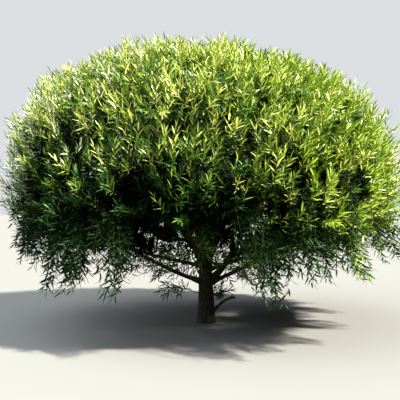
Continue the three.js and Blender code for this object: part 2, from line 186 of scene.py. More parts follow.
def turned(axis: Floats, turn: Floats) -> Floats:
    """The direction square to each axis, at an angle round it.

    Args:
        axis: Unit vectors.
        turn: An angle for each of them, in radians.

    Returns:
        Unit vectors square to the axes.
    """
    level = np.cross(axis, UP)
    level[np.linalg.norm(level, axis=-1) < NEARLY_UPRIGHT] = (0.0, 1.0, 0.0)
    level = unit(level)
    other = np.cross(axis, level)
    return level * np.cos(turn)[..., None] + other * np.sin(turn)[..., None]


@dataclass(frozen=True)
class HemWave:
    """A stretch of the hem, in degrees of bearing, that stands higher or hangs lower."""

    bearing: float
    rise: float
    half_angle: float


@dataclass(frozen=True)
class Shoulder:
    """A part of the dome that stands further out or in, as a share of the crown's reach."""

    bearing: float
    slope: float
    rise: float
    half_angle: float

    def at(self, direction: Floats) -> Floats:
        """How far each unit direction is raised."""
        off = np.degrees(np.arccos(np.clip(direction @ heading(self.bearing, self.slope), -1, 1)))
        return self.rise * np.exp(-((off / self.half_angle) ** 2))


@dataclass(frozen=True)
class Lump:
    """A set of shallow swellings over the crown."""

    round: int
    upward: float
    phase: float


class Tier(Enum):
    """A tier of masses: its slope from the heart, then where its boughs end and how steeply."""

    LOW = (-9.0, 1.12, 0.95, 24.0)
    HIGH = (36.0, 0.9, 1.99, 52.0)
    TOP = (90.0, 0.0, 2.23, 90.0)

    def __init__(self, slope: float, tip_radius: float, tip_height: float, tip_rise: float) -> None:
        """Names the tier's values.

        Args:
            slope: The slope of its masses from the heart, in degrees.
            tip_radius: How far out its boughs end.
            tip_height: How high they end.
            tip_rise: Their slope at the end, in degrees.
        """
        self.slope = slope
        self.tip_radius = tip_radius
        self.tip_height = tip_height
        self.tip_rise = tip_rise

    def tip(self, bearing: float) -> Floats:
        """The place where a bough at a bearing ends."""
        return heading(bearing, 0) * self.tip_radius + UP * self.tip_height


@dataclass(frozen=True)
class Bough:
    """One bough, which leaves the trunk at a height or a parent bough part of the way along."""

    name: str
    tier: Tier
    bearing: float
    rise: float
    radius: float
    height: float = 0.0
    parent: str = ""
    along: float = 0.0

    @property
    def node(self) -> str:
        """The name of the bough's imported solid."""
        return f"bough_{self.name}"

    @property
    def mass(self) -> str:
        """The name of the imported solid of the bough's foliage."""
        return f"foliage_{self.name}"

    @property
    def seed(self) -> Floats:
        """The direction from the crown's heart to the middle of the bough's mass."""
        return heading(self.bearing, self.tier.slope)


BOUGHS = (
    Bough("low_right", Tier.LOW, 350, 27, 0.027, height=0.425),
    Bough("low_back_right", Tier.LOW, 35, 24, 0.021, parent="high_right", along=0.22),
    Bough("low_back", Tier.LOW, 80, 26, 0.027, height=0.56),
    Bough("low_back_left", Tier.LOW, 125, 22, 0.021, parent="high_back_left", along=0.2),
    Bough("low_left", Tier.LOW, 174, 14, 0.029, height=0.462),
    Bough("low_front_left", Tier.LOW, 220, 18, 0.024, height=0.64),
    Bough("low_front", Tier.LOW, 264, 30, 0.021, parent="high_front_left", along=0.18),
    Bough("low_front_right", Tier.LOW, 307, 22, 0.025, height=0.59),
    Bough("high_right", Tier.HIGH, 14, 36, 0.042, height=0.44),
    Bough("high_back_right", Tier.HIGH, 72, 46, 0.033, height=0.79),
    Bough("high_back_left", Tier.HIGH, 134, 42, 0.037, height=0.66),
    Bough("high_left", Tier.HIGH, 196, 44, 0.034, height=0.75),
    Bough("high_front_left", Tier.HIGH, 252, 44, 0.035, height=0.73),
    Bough("high_front_right", Tier.HIGH, 314, 48, 0.033, height=0.85),
    Bough("top", Tier.TOP, 0, 90, 0.06, height=0.98),
)
SEEDS = np.array([bough.seed for bough in BOUGHS])


@dataclass(frozen=True)
class Crown:
    """The crown's outline round its heart, and the space that each mass has in it.

    The outline has one power for its dome and one for its skirt, varied by lumps and by the hem's
    waves. The lift and the turn-up bend shoots upward, and the lace and sparse values thin them out.
    """

    half_width: float = 2.4
    half_depth: float = 2.3
    shift_left: float = 0.04
    waist_height: float = 1.6
    dome_height: float = 1.68
    dome_power: float = 2.3
    left_shoulder: float = 0.3
    skirt_power: float = 4.0
    hem_height: float = 0.88
    lump_depth: float = 0.014
    lumps: tuple[Lump, ...] = (Lump(5, 7, 0), Lump(9, -11, 2))
    hem_waves: tuple[HemWave, ...] = (
        HemWave(251, 0.34, 9),
        HemWave(268, 0.24, 10),
        HemWave(228, -0.04, 10),
        HemWave(290, -0.1, 10),
        HemWave(322, -0.08, 10),
        HemWave(196, -0.06, 12),
        HemWave(150, -0.06, 12),
        HemWave(98, 0.24, 28),
        HemWave(30, -0.06, 12),
        HemWave(238, 0.1, 5),
    )
    hollow_radius: float = 0.9
    hollow_slope: float = 0.72
    least_depth: float = 0.7
    lift_at_waist: float = 0.42
    lift_per_rise: float = 1.7
    least_lift: float = -0.75
    most_lift: float = 0.6
    turn_up_at_waist: float = 2.2
    turn_up_per_rise: float = 6.2
    most_turn_up: float = 2.7
    least_outward: float = 0.5
    lace_height: float = 0.46
    lace_depth: float = 0.3
    thinnest: float = 0.62
    sparse_from: float = 0.5
    sparse_depth: float = 1.7
    sparsest: float = 0.72
    full_from: float = 1.7
    hang_from: float = 0.24
    hang_depth: float = 0.16
    hang: float = 0.07
    shoulders: tuple[Shoulder, ...] = (
        Shoulder(357, 34, 0.07, 10),
        Shoulder(0, 10, 0.05, 20),
        Shoulder(185, 23, -0.035, 12),
        Shoulder(180, 3, 0.064, 20),
        Shoulder(0, 70, -0.03, 14),
    )
    billow: float = 0.0132
    billow_waves: tuple[tuple[float, float, float], ...] = (
        (9, 6.7, 0.3), (-10.3, -3.6, 0.2), (3.6, -11, -3), (7, 6.7, -4.7)
    )
    billow_phases: tuple[float, ...] = (2.8, 2.7, 0.2, 3.1)

    @property
    def heart(self) -> Floats:
        """The point that the crown's outline is measured from."""
        return np.array([-self.shift_left, 0.0, self.waist_height])

    def hem(self, bearing: Floats) -> Floats:
        """The height of the hem, with its waves.

        Args:
            bearing: Bearings from the heart, in degrees.

        Returns:
            A height for each.
        """
        height = np.full(np.shape(bearing), self.hem_height)
        for wave in self.hem_waves:
            off = np.mod(bearing - wave.bearing + 180, 360) - 180
            height = height + wave.rise * np.exp(-((off / wave.half_angle) ** 2))
        return height

    def reach(self, direction: Floats) -> Floats:
        """How far the crown reaches from its heart: a dome above its waist, a steep skirt below.

        Args:
            direction: Unit directions from the heart.

        Returns:
            A distance for each.
        """
        x, y, z = np.moveaxis(direction, -1, 0)
        bearing = np.arctan2(y, x)
        across = np.hypot(x / self.half_width, y / self.half_depth)
        lumps = sum(
            self.lump_depth * np.sin(lump.round * bearing + lump.upward * z + lump.phase)
            for lump in self.lumps
        )
        swell = 1 + lumps * np.sqrt(np.clip(1 - z * z, 0, 1))
        on_dome = z >= 0
        dome_power = self.dome_power - self.left_shoulder * np.cos(bearing)
        power = np.where(on_dome, dome_power, self.skirt_power)
        skirt = self.waist_height - self.hem(np.degrees(bearing))
        depth = np.where(on_dome, self.dome_height, skirt)
        total = across**power + (np.abs(z) / depth) ** power
        return swell * total ** (-1 / power)

    def point(self, direction: Floats, share: Floats | float) -> Floats:
        """The point in each direction from the heart at a share of the crown's reach."""
        return self.heart + direction * (self.reach(direction) * share)[..., None]

    def share(self, points: Floats) -> Floats:
        """How far out each point lies, as a share of the crown's reach there."""
        from_heart = points - self.heart
        return np.linalg.norm(from_heart, axis=-1) / self.reach(unit(from_heart))

    def is_deep(self, index: int, direction: Floats) -> NDArray[np.bool_]:
        """Whether the crown reaches far enough in each direction for a mass to grow there."""
        return self.reach(direction) >= self.least_depth * self.reach(SEEDS[index])

    def hollow_clearance(self, points: Floats) -> Floats:
        """How far points lie outside the bare hollow under the crown.

        Args:
            points: Places in or near the crown.

        Returns:
            A distance for each, infinite above the heart and less than 0 in the hollow.
        """
        from_heart = points - self.heart
        across = np.hypot(from_heart[..., 0], from_heart[..., 1])
        inside = np.minimum(across - self.hollow_radius, from_heart[..., 2] + self.hollow_slope * across)
        return np.where(from_heart[..., 2] >= 0, np.inf, inside)

    def clearance(self, index: int, points: Floats) -> Floats:
        """How far points lie inside the space of one mass.

        Args:
            index: The mass's place in BOUGHS.
            points: Places in or near the crown.

        Returns:
            A distance for each, less than 0 outside the space.
        """
        walls = unit(SEEDS[index] - np.delete(SEEDS, index, axis=0))
        between = ((points - self.heart) @ walls.T).min(axis=-1)
        return np.minimum(between, self.hollow_clearance(points))

    def shoot_heading(self, direction: Floats) -> Floats:
        """The way a shoot points at its tip: up and out on the dome, drooping at the hem.

        Args:
            direction: Unit directions from the heart.

        Returns:
            A unit direction for each.
        """
        rising = self.lift_at_waist + self.lift_per_rise * direction[..., 2]
        lift = np.clip(rising, self.least_lift, self.most_lift)
        return unit(direction + UP * lift[..., None])

    def leafy_heading(self, direction: Floats) -> Floats:
        """The way the finest shoots point: they turn up to the light, and hang at the hem.

        Args:
            direction: Unit directions from the heart.

        Returns:
            A unit direction for each.
        """
        rising = self.turn_up_at_waist + self.turn_up_per_rise * direction[..., 2]
        lift = np.clip(rising, self.least_lift, self.most_turn_up)
        outward = np.clip(1 + lift, self.least_outward, 1)
        return unit(direction * outward[..., None] + UP * lift[..., None])

    def play(self, points: Floats) -> Floats:
        """How much further the leaves may reach near each point, as a share of the crown's reach.

        Args:
            points: Places near the crown's surface.

        Returns:
            A share for each: more at the hem, by the shoulders' rises, and in shallow billows.
        """
        direction = unit(points - self.heart)
        hanging = self.hang * ramp(-direction[..., 2], self.hang_from, self.hang_depth)
        raised = sum(shoulder.at(direction) for shoulder in self.shoulders)
        waves = np.sin(direction @ np.array(self.billow_waves).T + self.billow_phases).sum(axis=-1)
        return hanging + raised + self.billow * waves

    def closeness(self, points: Floats) -> Floats:
        """How closely shoots stand: they are sparse at the lacy hem and round the hollow.

        Args:
            points: Places in or near the crown.

        Returns:
            The share of shoots that grow at each, up to 1.
        """
        from_heart = points - self.heart
        bearing = np.degrees(np.arctan2(from_heart[..., 1], from_heart[..., 0]))
        above_hem = (points[..., 2] - self.hem(bearing)) / self.lace_height
        outside_hollow = 1 + self.hollow_clearance(points) / self.lace_depth
        hanging = np.clip(above_hem, self.thinnest, 1)
        return np.clip(np.minimum(hanging, outside_hollow), 0, 1)

    def sparseness(self, points: Floats) -> Floats:
        """How many shoots stand on the crown's face: all on top and on the right, fewer lower down.

        Args:
            points: Places in or near the crown.

        Returns:
            The share of shoots that grow at each, up to 1.
        """
        sunny = np.clip(points[..., 0] / self.full_from, 0, 1)
        least = self.sparsest + (1 - self.sparsest) * sunny
        return np.clip((points[..., 2] - self.sparse_from) / self.sparse_depth, least, 1)

    def off_seed(self, index: int, bearing: Floats, angle: Floats) -> Floats:
        """Directions at an angle off a mass's seed.

        Args:
            index: The mass's place in BOUGHS.
            bearing: Angles round the seed, in radians.
            angle: An angle off the seed for each, in radians.

        Returns:
            A unit direction for each.
        """
        seed = SEEDS[index]
        sideways = np.cross(UP, seed)
        if np.linalg.norm(sideways) < NEARLY_UPRIGHT:
            sideways = np.array([0.0, 1.0, 0.0])
        sideways = unit(sideways)
        upward = np.cross(seed, sideways)
        return (
            seed * np.cos(angle)[..., None]
            + sideways * (np.sin(angle) * np.cos(bearing))[..., None]
            + upward * (np.sin(angle) * np.sin(bearing))[..., None]
        )

    def widest_angle(
        self, index: int, bearing: Floats, passes: Callable[[Floats], NDArray[np.bool_]]
    ) -> Floats:
        """The widest angle off a mass's seed, at each bearing round it, that passes a test.

        Args:
            index: The mass's place in BOUGHS.
            bearing: Angles round the seed, in radians.
            passes: Says of each direction whether it passes.

        Returns:
            One angle for each bearing, in radians.
        """
        inside = np.zeros_like(bearing)
        outside = np.full_like(bearing, math.pi / 2)
        for _ in range(HALVINGS):
            middle = (inside + outside) / 2
            good = passes(self.off_seed(index, bearing, middle))
            inside = np.where(good, middle, inside)
            outside = np.where(good, outside, middle)
        return inside


@dataclass(frozen=True)
class Curves:
    """A bundle of cubic curves, each with four control points."""

    controls: Floats

    @classmethod
    def between(cls, start: Floats, leaving: Floats, end: Floats, arriving: Floats) -> "Curves":
        """Curves that leave each start along one direction and reach each end along another."""
        bend = BEND_REACH * np.linalg.norm(end - start, axis=-1, keepdims=True)
        return cls(np.stack([start, start + leaving * bend, end - arriving * bend, end], axis=-2))

    def parts(self, share: Floats) -> tuple[Floats, Floats, list[Floats]]:
        """The share done, the share left and the four control points, shaped to go together."""
        done = np.broadcast_to(share, (len(self.controls), np.shape(share)[-1]))[..., None]
        return done, 1 - done, [self.controls[:, None, i] for i in range(4)]

    def points(self, share: Floats) -> Floats:
        """Points on each curve.

        Args:
            share: Shares of the way along, of shape (k,) or (curves, k).

        Returns:
            Points of shape (curves, k, 3).
        """
        t, s, (a, b, c, d) = self.parts(share)
        return a * s**3 + b * (3 * s * s * t) + c * (3 * s * t * t) + d * t**3

    def tangents(self, share: Floats) -> Floats:
        """Unit tangents at the same places as points.

        Args:
            share: Shares of the way along, of shape (k,) or (curves, k).

        Returns:
            Unit vectors of shape (curves, k, 3).
        """
        t, s, (a, b, c, d) = self.parts(share)
        return unit((b - a) * (s * s) + (c - b) * (2 * s * t) + (d - c) * (t * t))

    def feet(self, share: Floats) -> tuple[Floats, Floats]:
        """The points and tangents at shares of the way along all the curves, as flat lists."""
        return self.points(share).reshape(-1, 3), self.tangents(share).reshape(-1, 3)

    def pick(self, which: Whole | NDArray[np.bool_]) -> "Curves":
        """The curves that an index or a mask names."""
        return Curves(self.controls[which])


@dataclass
class Shape:
    """Corners and faces that grow into one joined mesh."""

    corners: list[Floats] = field(default_factory=list)
    faces: list[Whole] = field(default_factory=list)
    slots: list[Whole] = field(default_factory=list)
    values: list[Floats] = field(default_factory=list)
    count: int = 0

    def add(
        self, corners: Floats, faces: Sequence[Whole], slots: Whole | None = None,
        values: Floats | None = None,
    ) -> None:
        """Adds corners and the faces between them.

        Args:
            corners: Points of shape (n, 3).
            faces: Arrays of corner numbers, one for each number of sides.
            slots: The material slot of each face, in the order of faces.
            values: The depth of the relief at each corner, from 0 to 1.
        """
        number = sum(len(some) for some in faces)
        self.corners.append(corners)
        self.faces.extend(some + self.count for some in faces)
        self.slots.append(np.zeros(number, int) if slots is None else slots)
        self.values.append(np.zeros(len(corners)) if values is None else values)
        self.count += len(corners)

    def add_leaves(self, form: "LeafForm", corners: Floats, green: Whole) -> None:
        """Adds leaves of one form.

        Args:
            form: Their form.
            corners: Points of shape (leaves, corners of the form, 3).
            green: The material slot of each leaf.
        """
        slots = np.repeat(green, len(form.triangles))
        self.add(corners.reshape(-1, 3), [form.faces(len(corners))], slots=slots)

    def build(self, name: str, materials: Sequence[bpy.types.Material]) -> bpy.types.Object:
        """Makes the mesh object.

        Args:
            name: The piece's name.
            materials: The materials of its slots.

        Returns:
            The linked object.
        """
        mesh = bpy.data.meshes.new(name)
        corners = np.concatenate(self.corners)
        rims = np.concatenate([some.ravel() for some in self.faces])
        sides = np.concatenate([np.full(len(some), some.shape[1]) for some in self.faces])
        mesh.vertices.add(len(corners))
        mesh.vertices.foreach_set("co", corners.astype(np.float32).ravel())
        mesh.loops.add(len(rims))
        mesh.loops.foreach_set("vertex_index", rims.astype(np.int32))
        mesh.polygons.add(len(sides))
        mesh.polygons.foreach_set("loop_start", (np.cumsum(sides) - sides).astype(np.int32))
        mesh.polygons.foreach_set("use_smooth", np.ones(len(sides), bool))
        mesh.polygons.foreach_set("material_index", np.concatenate(self.slots).astype(np.int32))
        depth = mesh.attributes.new("furrow", "FLOAT", "POINT")
        depth.data.foreach_set("value", np.concatenate(self.values).astype(np.float32))
        for material in materials:
            mesh.materials.append(material)
        mesh.update(calc_edges=True)
        piece = bpy.data.objects.new(name, mesh)
        bpy.context.scene.collection.objects.link(piece)
        return piece


def tubes(points: Floats, tangents: Floats, radii: Floats) -> tuple[Floats, list[Whole]]:
    """Closed tubes along many paths at once.

    Args:
        points: The paths, of shape (tubes, steps, 3).
        tangents: The unit tangent at each point.
        radii: Radii of shape (tubes, steps, sides).

    Returns:
        The corners, and the faces as quads and end caps.
    """
    number, steps, sides = radii.shape
    normal = turned(tangents[:, 0], np.zeros(number))
    turns = 2 * math.pi * np.arange(sides) / sides
    rings = np.empty((number, steps, sides, 3))
    for step in range(steps):
        tangent = tangents[:, step]
        normal = unit(normal - tangent * np.sum(normal * tangent, axis=1, keepdims=True))
        other = np.cross(tangent, normal)
        spokes = normal[:, None] * np.cos(turns)[:, None] + other[:, None] * np.sin(turns)[:, None]
        rings[:, step] = points[:, step, None] + spokes * radii[:, step, :, None]
    first = (np.arange(number)[:, None, None] * steps + np.arange(steps - 1)[:, None]) * sides
    here, on = np.arange(sides), (np.arange(sides) + 1) % sides
    quads = np.stack([first + here, first + on, first + on + sides, first + here + sides], axis=-1)
    base = np.arange(number)[:, None] * steps * sides
    foot, tip = base + here[::-1], base + (steps - 1) * sides + here
    return rings.reshape(-1, 3), [quads.reshape(-1, 4), np.concatenate([foot, tip])]


def lattice_noise(u: Floats, v: Floats, wrap: int, salt: int) -> Floats:
    """Smooth noise from 0 to 1 that closes on itself.

    Args:
        u: Places on the way that closes, in cells.
        v: Places on the way that doesn't, in cells.
        wrap: The number of cells of u after which it closes.
        salt: A whole number that sets the pattern.

    Returns:
        A number for each place.
    """
    u0, v0 = np.floor(u).astype(int), np.floor(v).astype(int)
    fu, fv = u - u0, v - v0
    su, sv = fu * fu * (3 - 2 * fu), fv * fv * (3 - 2 * fv)
    here, on, row = u0 % wrap, (u0 + 1) % wrap, v0 + NOISE_ORIGIN
    low = chance(salt, here, row) * (1 - su) + chance(salt, on, row) * su
    high = chance(salt, here, row + 1) * (1 - su) + chance(salt, on, row + 1) * su
    return low * (1 - sv) + high * sv


@dataclass(frozen=True)
class Relief:
    """Bark split into long diamond plates by crossing furrows.

    Waves are given as how many go round the limb, and how many to a plate's length along it.
    """

    furrows: int
    plate_length: float
    depth: float
    knobs: float
    salt: int
    lean: float = 2.6
    lean_waves: tuple[int, float] = (4, 0.6)
    counter_lean: float = 2.2
    counter_lean_waves: tuple[int, float] = (6, 1.1)
    knob_waves: tuple[int, float] = (3, 0.35)
    furrow_power: float = 0.6
    flakes_per_furrow: int = 3
    flakes_per_plate: float = 4
    flake_share: float = 0.35
    furrow_tint: float = 0.8
    flake_tint: float = 0.3

    def waves(self, u: Floats, v: Floats, number: tuple[int, float], layer: int) -> Floats:
        """One layer of noise, with so many waves round the limb and to a plate's length."""
        return lattice_noise(u * number[0], v * number[1], number[0], self.salt + layer)

    def heights(self, turn: Floats, along: Floats) -> tuple[Floats, Floats]:
        """The relief over a limb.

        Args:
            turn: Angles round the limb, in radians.
            along: Distances along it.

        Returns:
            How far each place stands off the plain limb, and how deep it lies in a furrow.
        """
        u = turn / (2 * math.pi)
        v = along / self.plate_length
        lean = self.lean * (self.waves(u, v, self.lean_waves, 0) - 0.5)
        counter_lean = self.counter_lean * (self.waves(u, v, self.counter_lean_waves, 1) - 0.5)
        one = np.abs(np.sin(self.furrows * turn / 2 + math.pi * v / 2 + lean))
        two = np.abs(np.sin(self.furrows * turn / 2 - math.pi * v / 2 + counter_lean))
        furrow = 1 - np.minimum(one, two) ** self.furrow_power
        flakes = self.waves(u, v, (self.furrows * self.flakes_per_furrow, self.flakes_per_plate), 2)
        swell = self.waves(u, v, self.knob_waves, 3) - 0.5
        height = self.knobs * swell + self.depth * (0.5 - furrow - self.flake_share * flakes)
        return height, np.clip(self.furrow_tint * furrow + self.flake_tint * flakes, 0, 1)


def set_sockets(node: bpy.types.Node, values: Sockets) -> None:
    """Sets the values of a node's own sockets."""
    for name, value in values.items():
        node.inputs[name].default_value = value


def add_node(tree: bpy.types.NodeTree, kind: str, values: Sockets | None = None) -> bpy.types.Node:
    """Adds a shader node.

    Args:
        tree: The node tree that it goes in.
        kind: What its type's name says after ShaderNode.
        values: The values of its own sockets.

    Returns:
        The node.
    """
    node = tree.nodes.new(f"ShaderNode{kind}")
    set_sockets(node, values or {})
    return node


def add_colour_mix(tree: bpy.types.NodeTree) -> bpy.types.Node:
    """Adds a node that mixes two colours.

    Args:
        tree: The node tree that it goes in.

    Returns:
        The node.
    """
    node = add_node(tree, "Mix")
    node.data_type = "RGBA"
    return node


def link(tree: bpy.types.NodeTree, *pairs: tuple[bpy.types.NodeSocket, bpy.types.NodeSocket]) -> None:
    """Links each output to the input beside it."""
    for source, target in pairs:
        tree.links.new(source, target)


def opaque(colour: Colour) -> tuple[float, ...]:
    """A colour as a socket takes it."""
    return (*colour, 1.0)


def shaded(name: str, values: Sockets) -> tuple[bpy.types.Material, bpy.types.Node]:
    """A new material.

    Args:
        name: Its name.
        values: The values of its shader's own sockets.

    Returns:
        The material and its shader.
    """
    material = bpy.data.materials.new(name)
    material.use_nodes = True
    shader = material.node_tree.nodes["Principled BSDF"]
    set_sockets(shader, values)
    return material, shader


@dataclass(frozen=True)
class BarkFinish:
    """Bark that is pale on its plates, dark in its furrows and touched with lichen."""

    name: str
    plate: Colour
    furrow: Colour
    lichen: Colour
    lichen_share: float
    grain_scale: float
    bump: float
    bump_distance: float = 0.004
    shine: float = 0.3

    def material(self, group: bpy.types.NodeTree) -> bpy.types.Material:
        """The finish as a material.

        Args:
            group: The shared bark effect.

        Returns:
            The material, with the effect's colour, roughness and bump.
        """
        material, shader = shaded(self.name, {"Specular IOR Level": self.shine})
        tree = material.node_tree
        effect = add_node(tree, "Group")
        effect.node_tree = group
        set_sockets(effect, {
            "Plate": opaque(self.plate),
            "Furrow Colour": opaque(self.furrow),
            "Lichen": opaque(self.lichen),
            "Lichen Share": self.lichen_share,
            "Grain Scale": self.grain_scale,
        })
        depth = add_node(tree, "Attribute")
        depth.attribute_name = "furrow"
        bump = add_node(tree, "Bump", {"Strength": self.bump, "Distance": self.bump_distance})
        link(
            tree,
            (depth.outputs["Fac"], effect.inputs["Depth"]),
            (effect.outputs["Colour"], shader.inputs["Base Color"]),
            (effect.outputs["Roughness"], shader.inputs["Roughness"]),
            (effect.outputs["Height"], bump.inputs["Height"]),
            (bump.outputs["Normal"], shader.inputs["Normal"]),
        )
        return material


def bark_effect() -> bpy.types.NodeTree:
    """The shader node group that every kind of bark on the tree uses.

    Returns:
        A group that gives colour, roughness and height from the relief's depth and fine grain.
    """
    tree = bpy.data.node_groups.new("weathered_bark", "ShaderNodeTree")
    for side, name, kind in (
        ("INPUT", "Depth", "Float"),
        ("INPUT", "Plate", "Color"),
        ("INPUT", "Furrow Colour", "Color"),
        ("INPUT", "Lichen", "Color"),
        ("INPUT", "Lichen Share", "Float"),
        ("INPUT", "Grain Scale", "Float"),
        ("OUTPUT", "Colour", "Color"),
        ("OUTPUT", "Roughness", "Float"),
        ("OUTPUT", "Height", "Float"),
    ):
        tree.interface.new_socket(name, in_out=side, socket_type=f"NodeSocket{kind}")
    entry, leave = tree.nodes.new("NodeGroupInput"), tree.nodes.new("NodeGroupOutput")
    place = add_node(tree, "TexCoord")
    grain = add_node(tree, "TexNoise", {"Detail": 6, "Roughness": 0.65})
    patch = add_node(tree, "TexNoise", {"Scale": 9, "Detail": 4})
    cracked, mottled, crusted = (add_colour_mix(tree) for _ in range(3))
    mottled.blend_type = "MULTIPLY"
    set_sockets(mottled, {"Factor": 0.7})
    shades = add_node(tree, "MapRange", {"To Min": 0.45, "To Max": 1.45})
    spread = add_node(tree, "MapRange", {"From Min": 0.52, "From Max": 0.64})
    dull = add_node(tree, "MapRange", {"To Min": 0.95, "To Max": 0.7})
    amount, rough = add_node(tree, "Math"), add_node(tree, "Math")
    amount.operation = "MULTIPLY"
    rough.operation = "SUBTRACT"
    link(
        tree,
        (place.outputs["Object"], grain.inputs["Vector"]),
        (place.outputs["Object"], patch.inputs["Vector"]),
        (entry.outputs["Grain Scale"], grain.inputs["Scale"]),
        (entry.outputs["Depth"], cracked.inputs["Factor"]),
        (entry.outputs["Plate"], cracked.inputs["A"]),
        (entry.outputs["Furrow Colour"], cracked.inputs["B"]),
        (grain.outputs["Fac"], shades.inputs["Value"]),
        (cracked.outputs["Result"], mottled.inputs["A"]),
        (shades.outputs["Result"], mottled.inputs["B"]),
        (patch.outputs["Fac"], spread.inputs["Value"]),
        (spread.outputs["Result"], amount.inputs[0]),
        (entry.outputs["Lichen Share"], amount.inputs[1]),
        (amount.outputs["Value"], crusted.inputs["Factor"]),
        (mottled.outputs["Result"], crusted.inputs["A"]),
        (entry.outputs["Lichen"], crusted.inputs["B"]),
        (crusted.outputs["Result"], leave.inputs["Colour"]),
        (grain.outputs["Fac"], dull.inputs["Value"]),
        (dull.outputs["Result"], leave.inputs["Roughness"]),
        (grain.outputs["Fac"], rough.inputs[0]),
        (entry.outputs["Depth"], rough.inputs[1]),
        (rough.outputs["Value"], leave.inputs["Height"]),
    )
    return tree


@dataclass(frozen=True)
class LeafFinish:
    """One plain green of the leaves, with their waxy shine."""

    name: str
    colour: Colour
    roughness: float = 0.34
    coat: float = 0.45
    coat_roughness: float = 0.2
    shine: float = 0.5

    def material(self) -> bpy.types.Material:
        """The finish as a material.

        Returns:
            The material, plain in colour, under a thin coat of wax.
        """
        return shaded(self.name, {
            "Base Color": opaque(self.colour),
            "Roughness": self.roughness,
            "Specular IOR Level": self.shine,
            "Coat Weight": self.coat,
            "Coat Roughness": self.coat_roughness,
        })[0]


def painted(red: int, green: int, blue: int) -> Colour:
    """A colour as linear light.

    Args:
        red: The red of the colour as it is seen, from 0 to 255.
        green: Its green.
        blue: Its blue.

    Returns:
        The three shares of light, from 0 to 1.
    """
    return tuple(
        value / 12.92 if value <= 0.04045 else ((value + 0.055) / 1.055) ** 2.4
        for value in (red / 255, green / 255, blue / 255)
    )


TRUNK_BARK = BarkFinish(
    name="furrowed_bark",
    plate=painted(92, 82, 70),
    furrow=painted(28, 24, 20),
    lichen=painted(104, 108, 84),
    lichen_share=0.35,
    grain_scale=90,
    bump=0.8,
)
BOUGH_BARK = BarkFinish(
    name="bough_bark",
    plate=painted(84, 76, 62),
    furrow=painted(34, 29, 22),
    lichen=painted(98, 102, 76),
    lichen_share=0.25,
    grain_scale=140,
    bump=0.6,
)
TWIG_BARK = BarkFinish(
    name="twig_bark",
    plate=painted(60, 56, 32),
    furrow=painted(38, 34, 22),
    lichen=painted(80, 82, 54),
    lichen_share=0.1,
    grain_scale=220,
    bump=0.3,
)
DEAD_WOOD = BarkFinish(
    name="dead_wood",
    plate=painted(104, 98, 88),
    furrow=painted(46, 41, 34),
    lichen=painted(120, 120, 104),
    lichen_share=0.2,
    grain_scale=120,
    bump=0.6,
)


class Green(IntEnum):
    """The greens that are dealt out by spray, as material slots, darkest first up to the young green, as
    painted light and shade.
    """

    PAINTED_SHADE = 0
    SHADED = 1
    DEEP = 2
    SUMMER = 3
    BRIGHT = 4
    YOUNG_AND_SUNLIT = 5
    # These three paint a glint, sunlight on the right and shade under the hem.
    PAINTED_GLINT = 6
    PAINTED_SUN = 7
    PAINTED_HEM_SHADE = 8


# The darker greens paint shade and the lighter ones paint light, as they are dealt out by where light falls,
# besides the leaves' own tones.
LEAF_FINISHES = {
    # Near black: painted shade deep inside the crown.
    Green.PAINTED_SHADE: LeafFinish("leaf_painted_shade", painted(14, 28, 10), roughness=0.7, coat=0.0, shine=0.1),
    Green.SHADED: LeafFinish("leaf_shaded", painted(42, 82, 28), coat=0.1, shine=0.3),
    Green.DEEP: LeafFinish("leaf_deep", painted(72, 116, 40), coat=0.25),
    Green.SUMMER: LeafFinish("leaf_summer", painted(116, 152, 52)),
    Green.BRIGHT: LeafFinish("leaf_bright", painted(166, 188, 72)),
    # Yellow-green of young growth, dealt where most light falls, so also painted sunlight.
    Green.YOUNG_AND_SUNLIT: LeafFinish("leaf_young_and_sunlit", painted(206, 218, 104)),
    # Whitish: a painted glint of sky reflected on the waxy leaves at the upper left.
    Green.PAINTED_GLINT: LeafFinish("leaf_painted_glint", painted(200, 210, 160)),
    # Olive: painted sunlight on the crown's right side.
    Green.PAINTED_SUN: LeafFinish("leaf_painted_sun", painted(164, 190, 54)),
    # Dark green: painted shade on the hanging shoots under the crown.
    Green.PAINTED_HEM_SHADE: LeafFinish("leaf_painted_hem_shade", painted(28, 56, 20), roughness=0.5, coat=0.0, shine=0.2),
}


@dataclass(frozen=True)
class LeafForm:
    """A narrow leaf of a few faces, folded along its midrib and arched.

    Its plan gives each corner's place along the leaf and to its side, as shares of its length
    and half width.
    """

    plan: tuple[tuple[float, float], ...]
    triangles: tuple[tuple[int, int, int], ...]
    width_share: float = 0.152
    fold: float = 0.3
    arch: float = 0.12

    def corners(self, root: Floats, direction: Floats, face: Floats, length: Floats) -> Floats:
        """The corners of each leaf.

        Args:
            root: Where each leaf starts.
            direction: The way it points.
            face: The way its upper side looks, square to direction.
            length: Its length.

        Returns:
            Points of shape (leaves, corners of the plan, 3).
        """
        across = np.cross(face, direction)
        size = length[:, None]
        half = self.width_share / 2
        return np.stack([
            root + direction * size * along + across * size * half * side
            + face * size * (self.fold * half * abs(side) - self.arch * along * along)
            for along, side in self.plan
        ], axis=1)

    def faces(self, number: int) -> Whole:
        """The faces of each of a number of leaves, as corner numbers."""
        one = np.array(self.triangles)
        return (np.arange(number)[:, None, None] * len(self.plan) + one).reshape(-1, 3)


LANCE = LeafForm(
    plan=((0, 0), (0.27, -1), (0.27, 1), (0.47, 0), (0.66, -0.8), (0.66, 0.8), (1, 0)),
    triangles=((0, 2, 3), (2, 5, 3), (5, 6, 3), (0, 3, 1), (1, 3, 4), (4, 3, 6)),
)
HEM_LANCE = replace(LANCE, width_share=0.172)
KITE = LeafForm(
    plan=((0, 0), (0.45, -1), (0.45, 1), (0.45, 0), (1, 0)),
    triangles=((0, 2, 3), (2, 4, 3), (0, 3, 1), (1, 3, 4)),
    width_share=0.26,
)


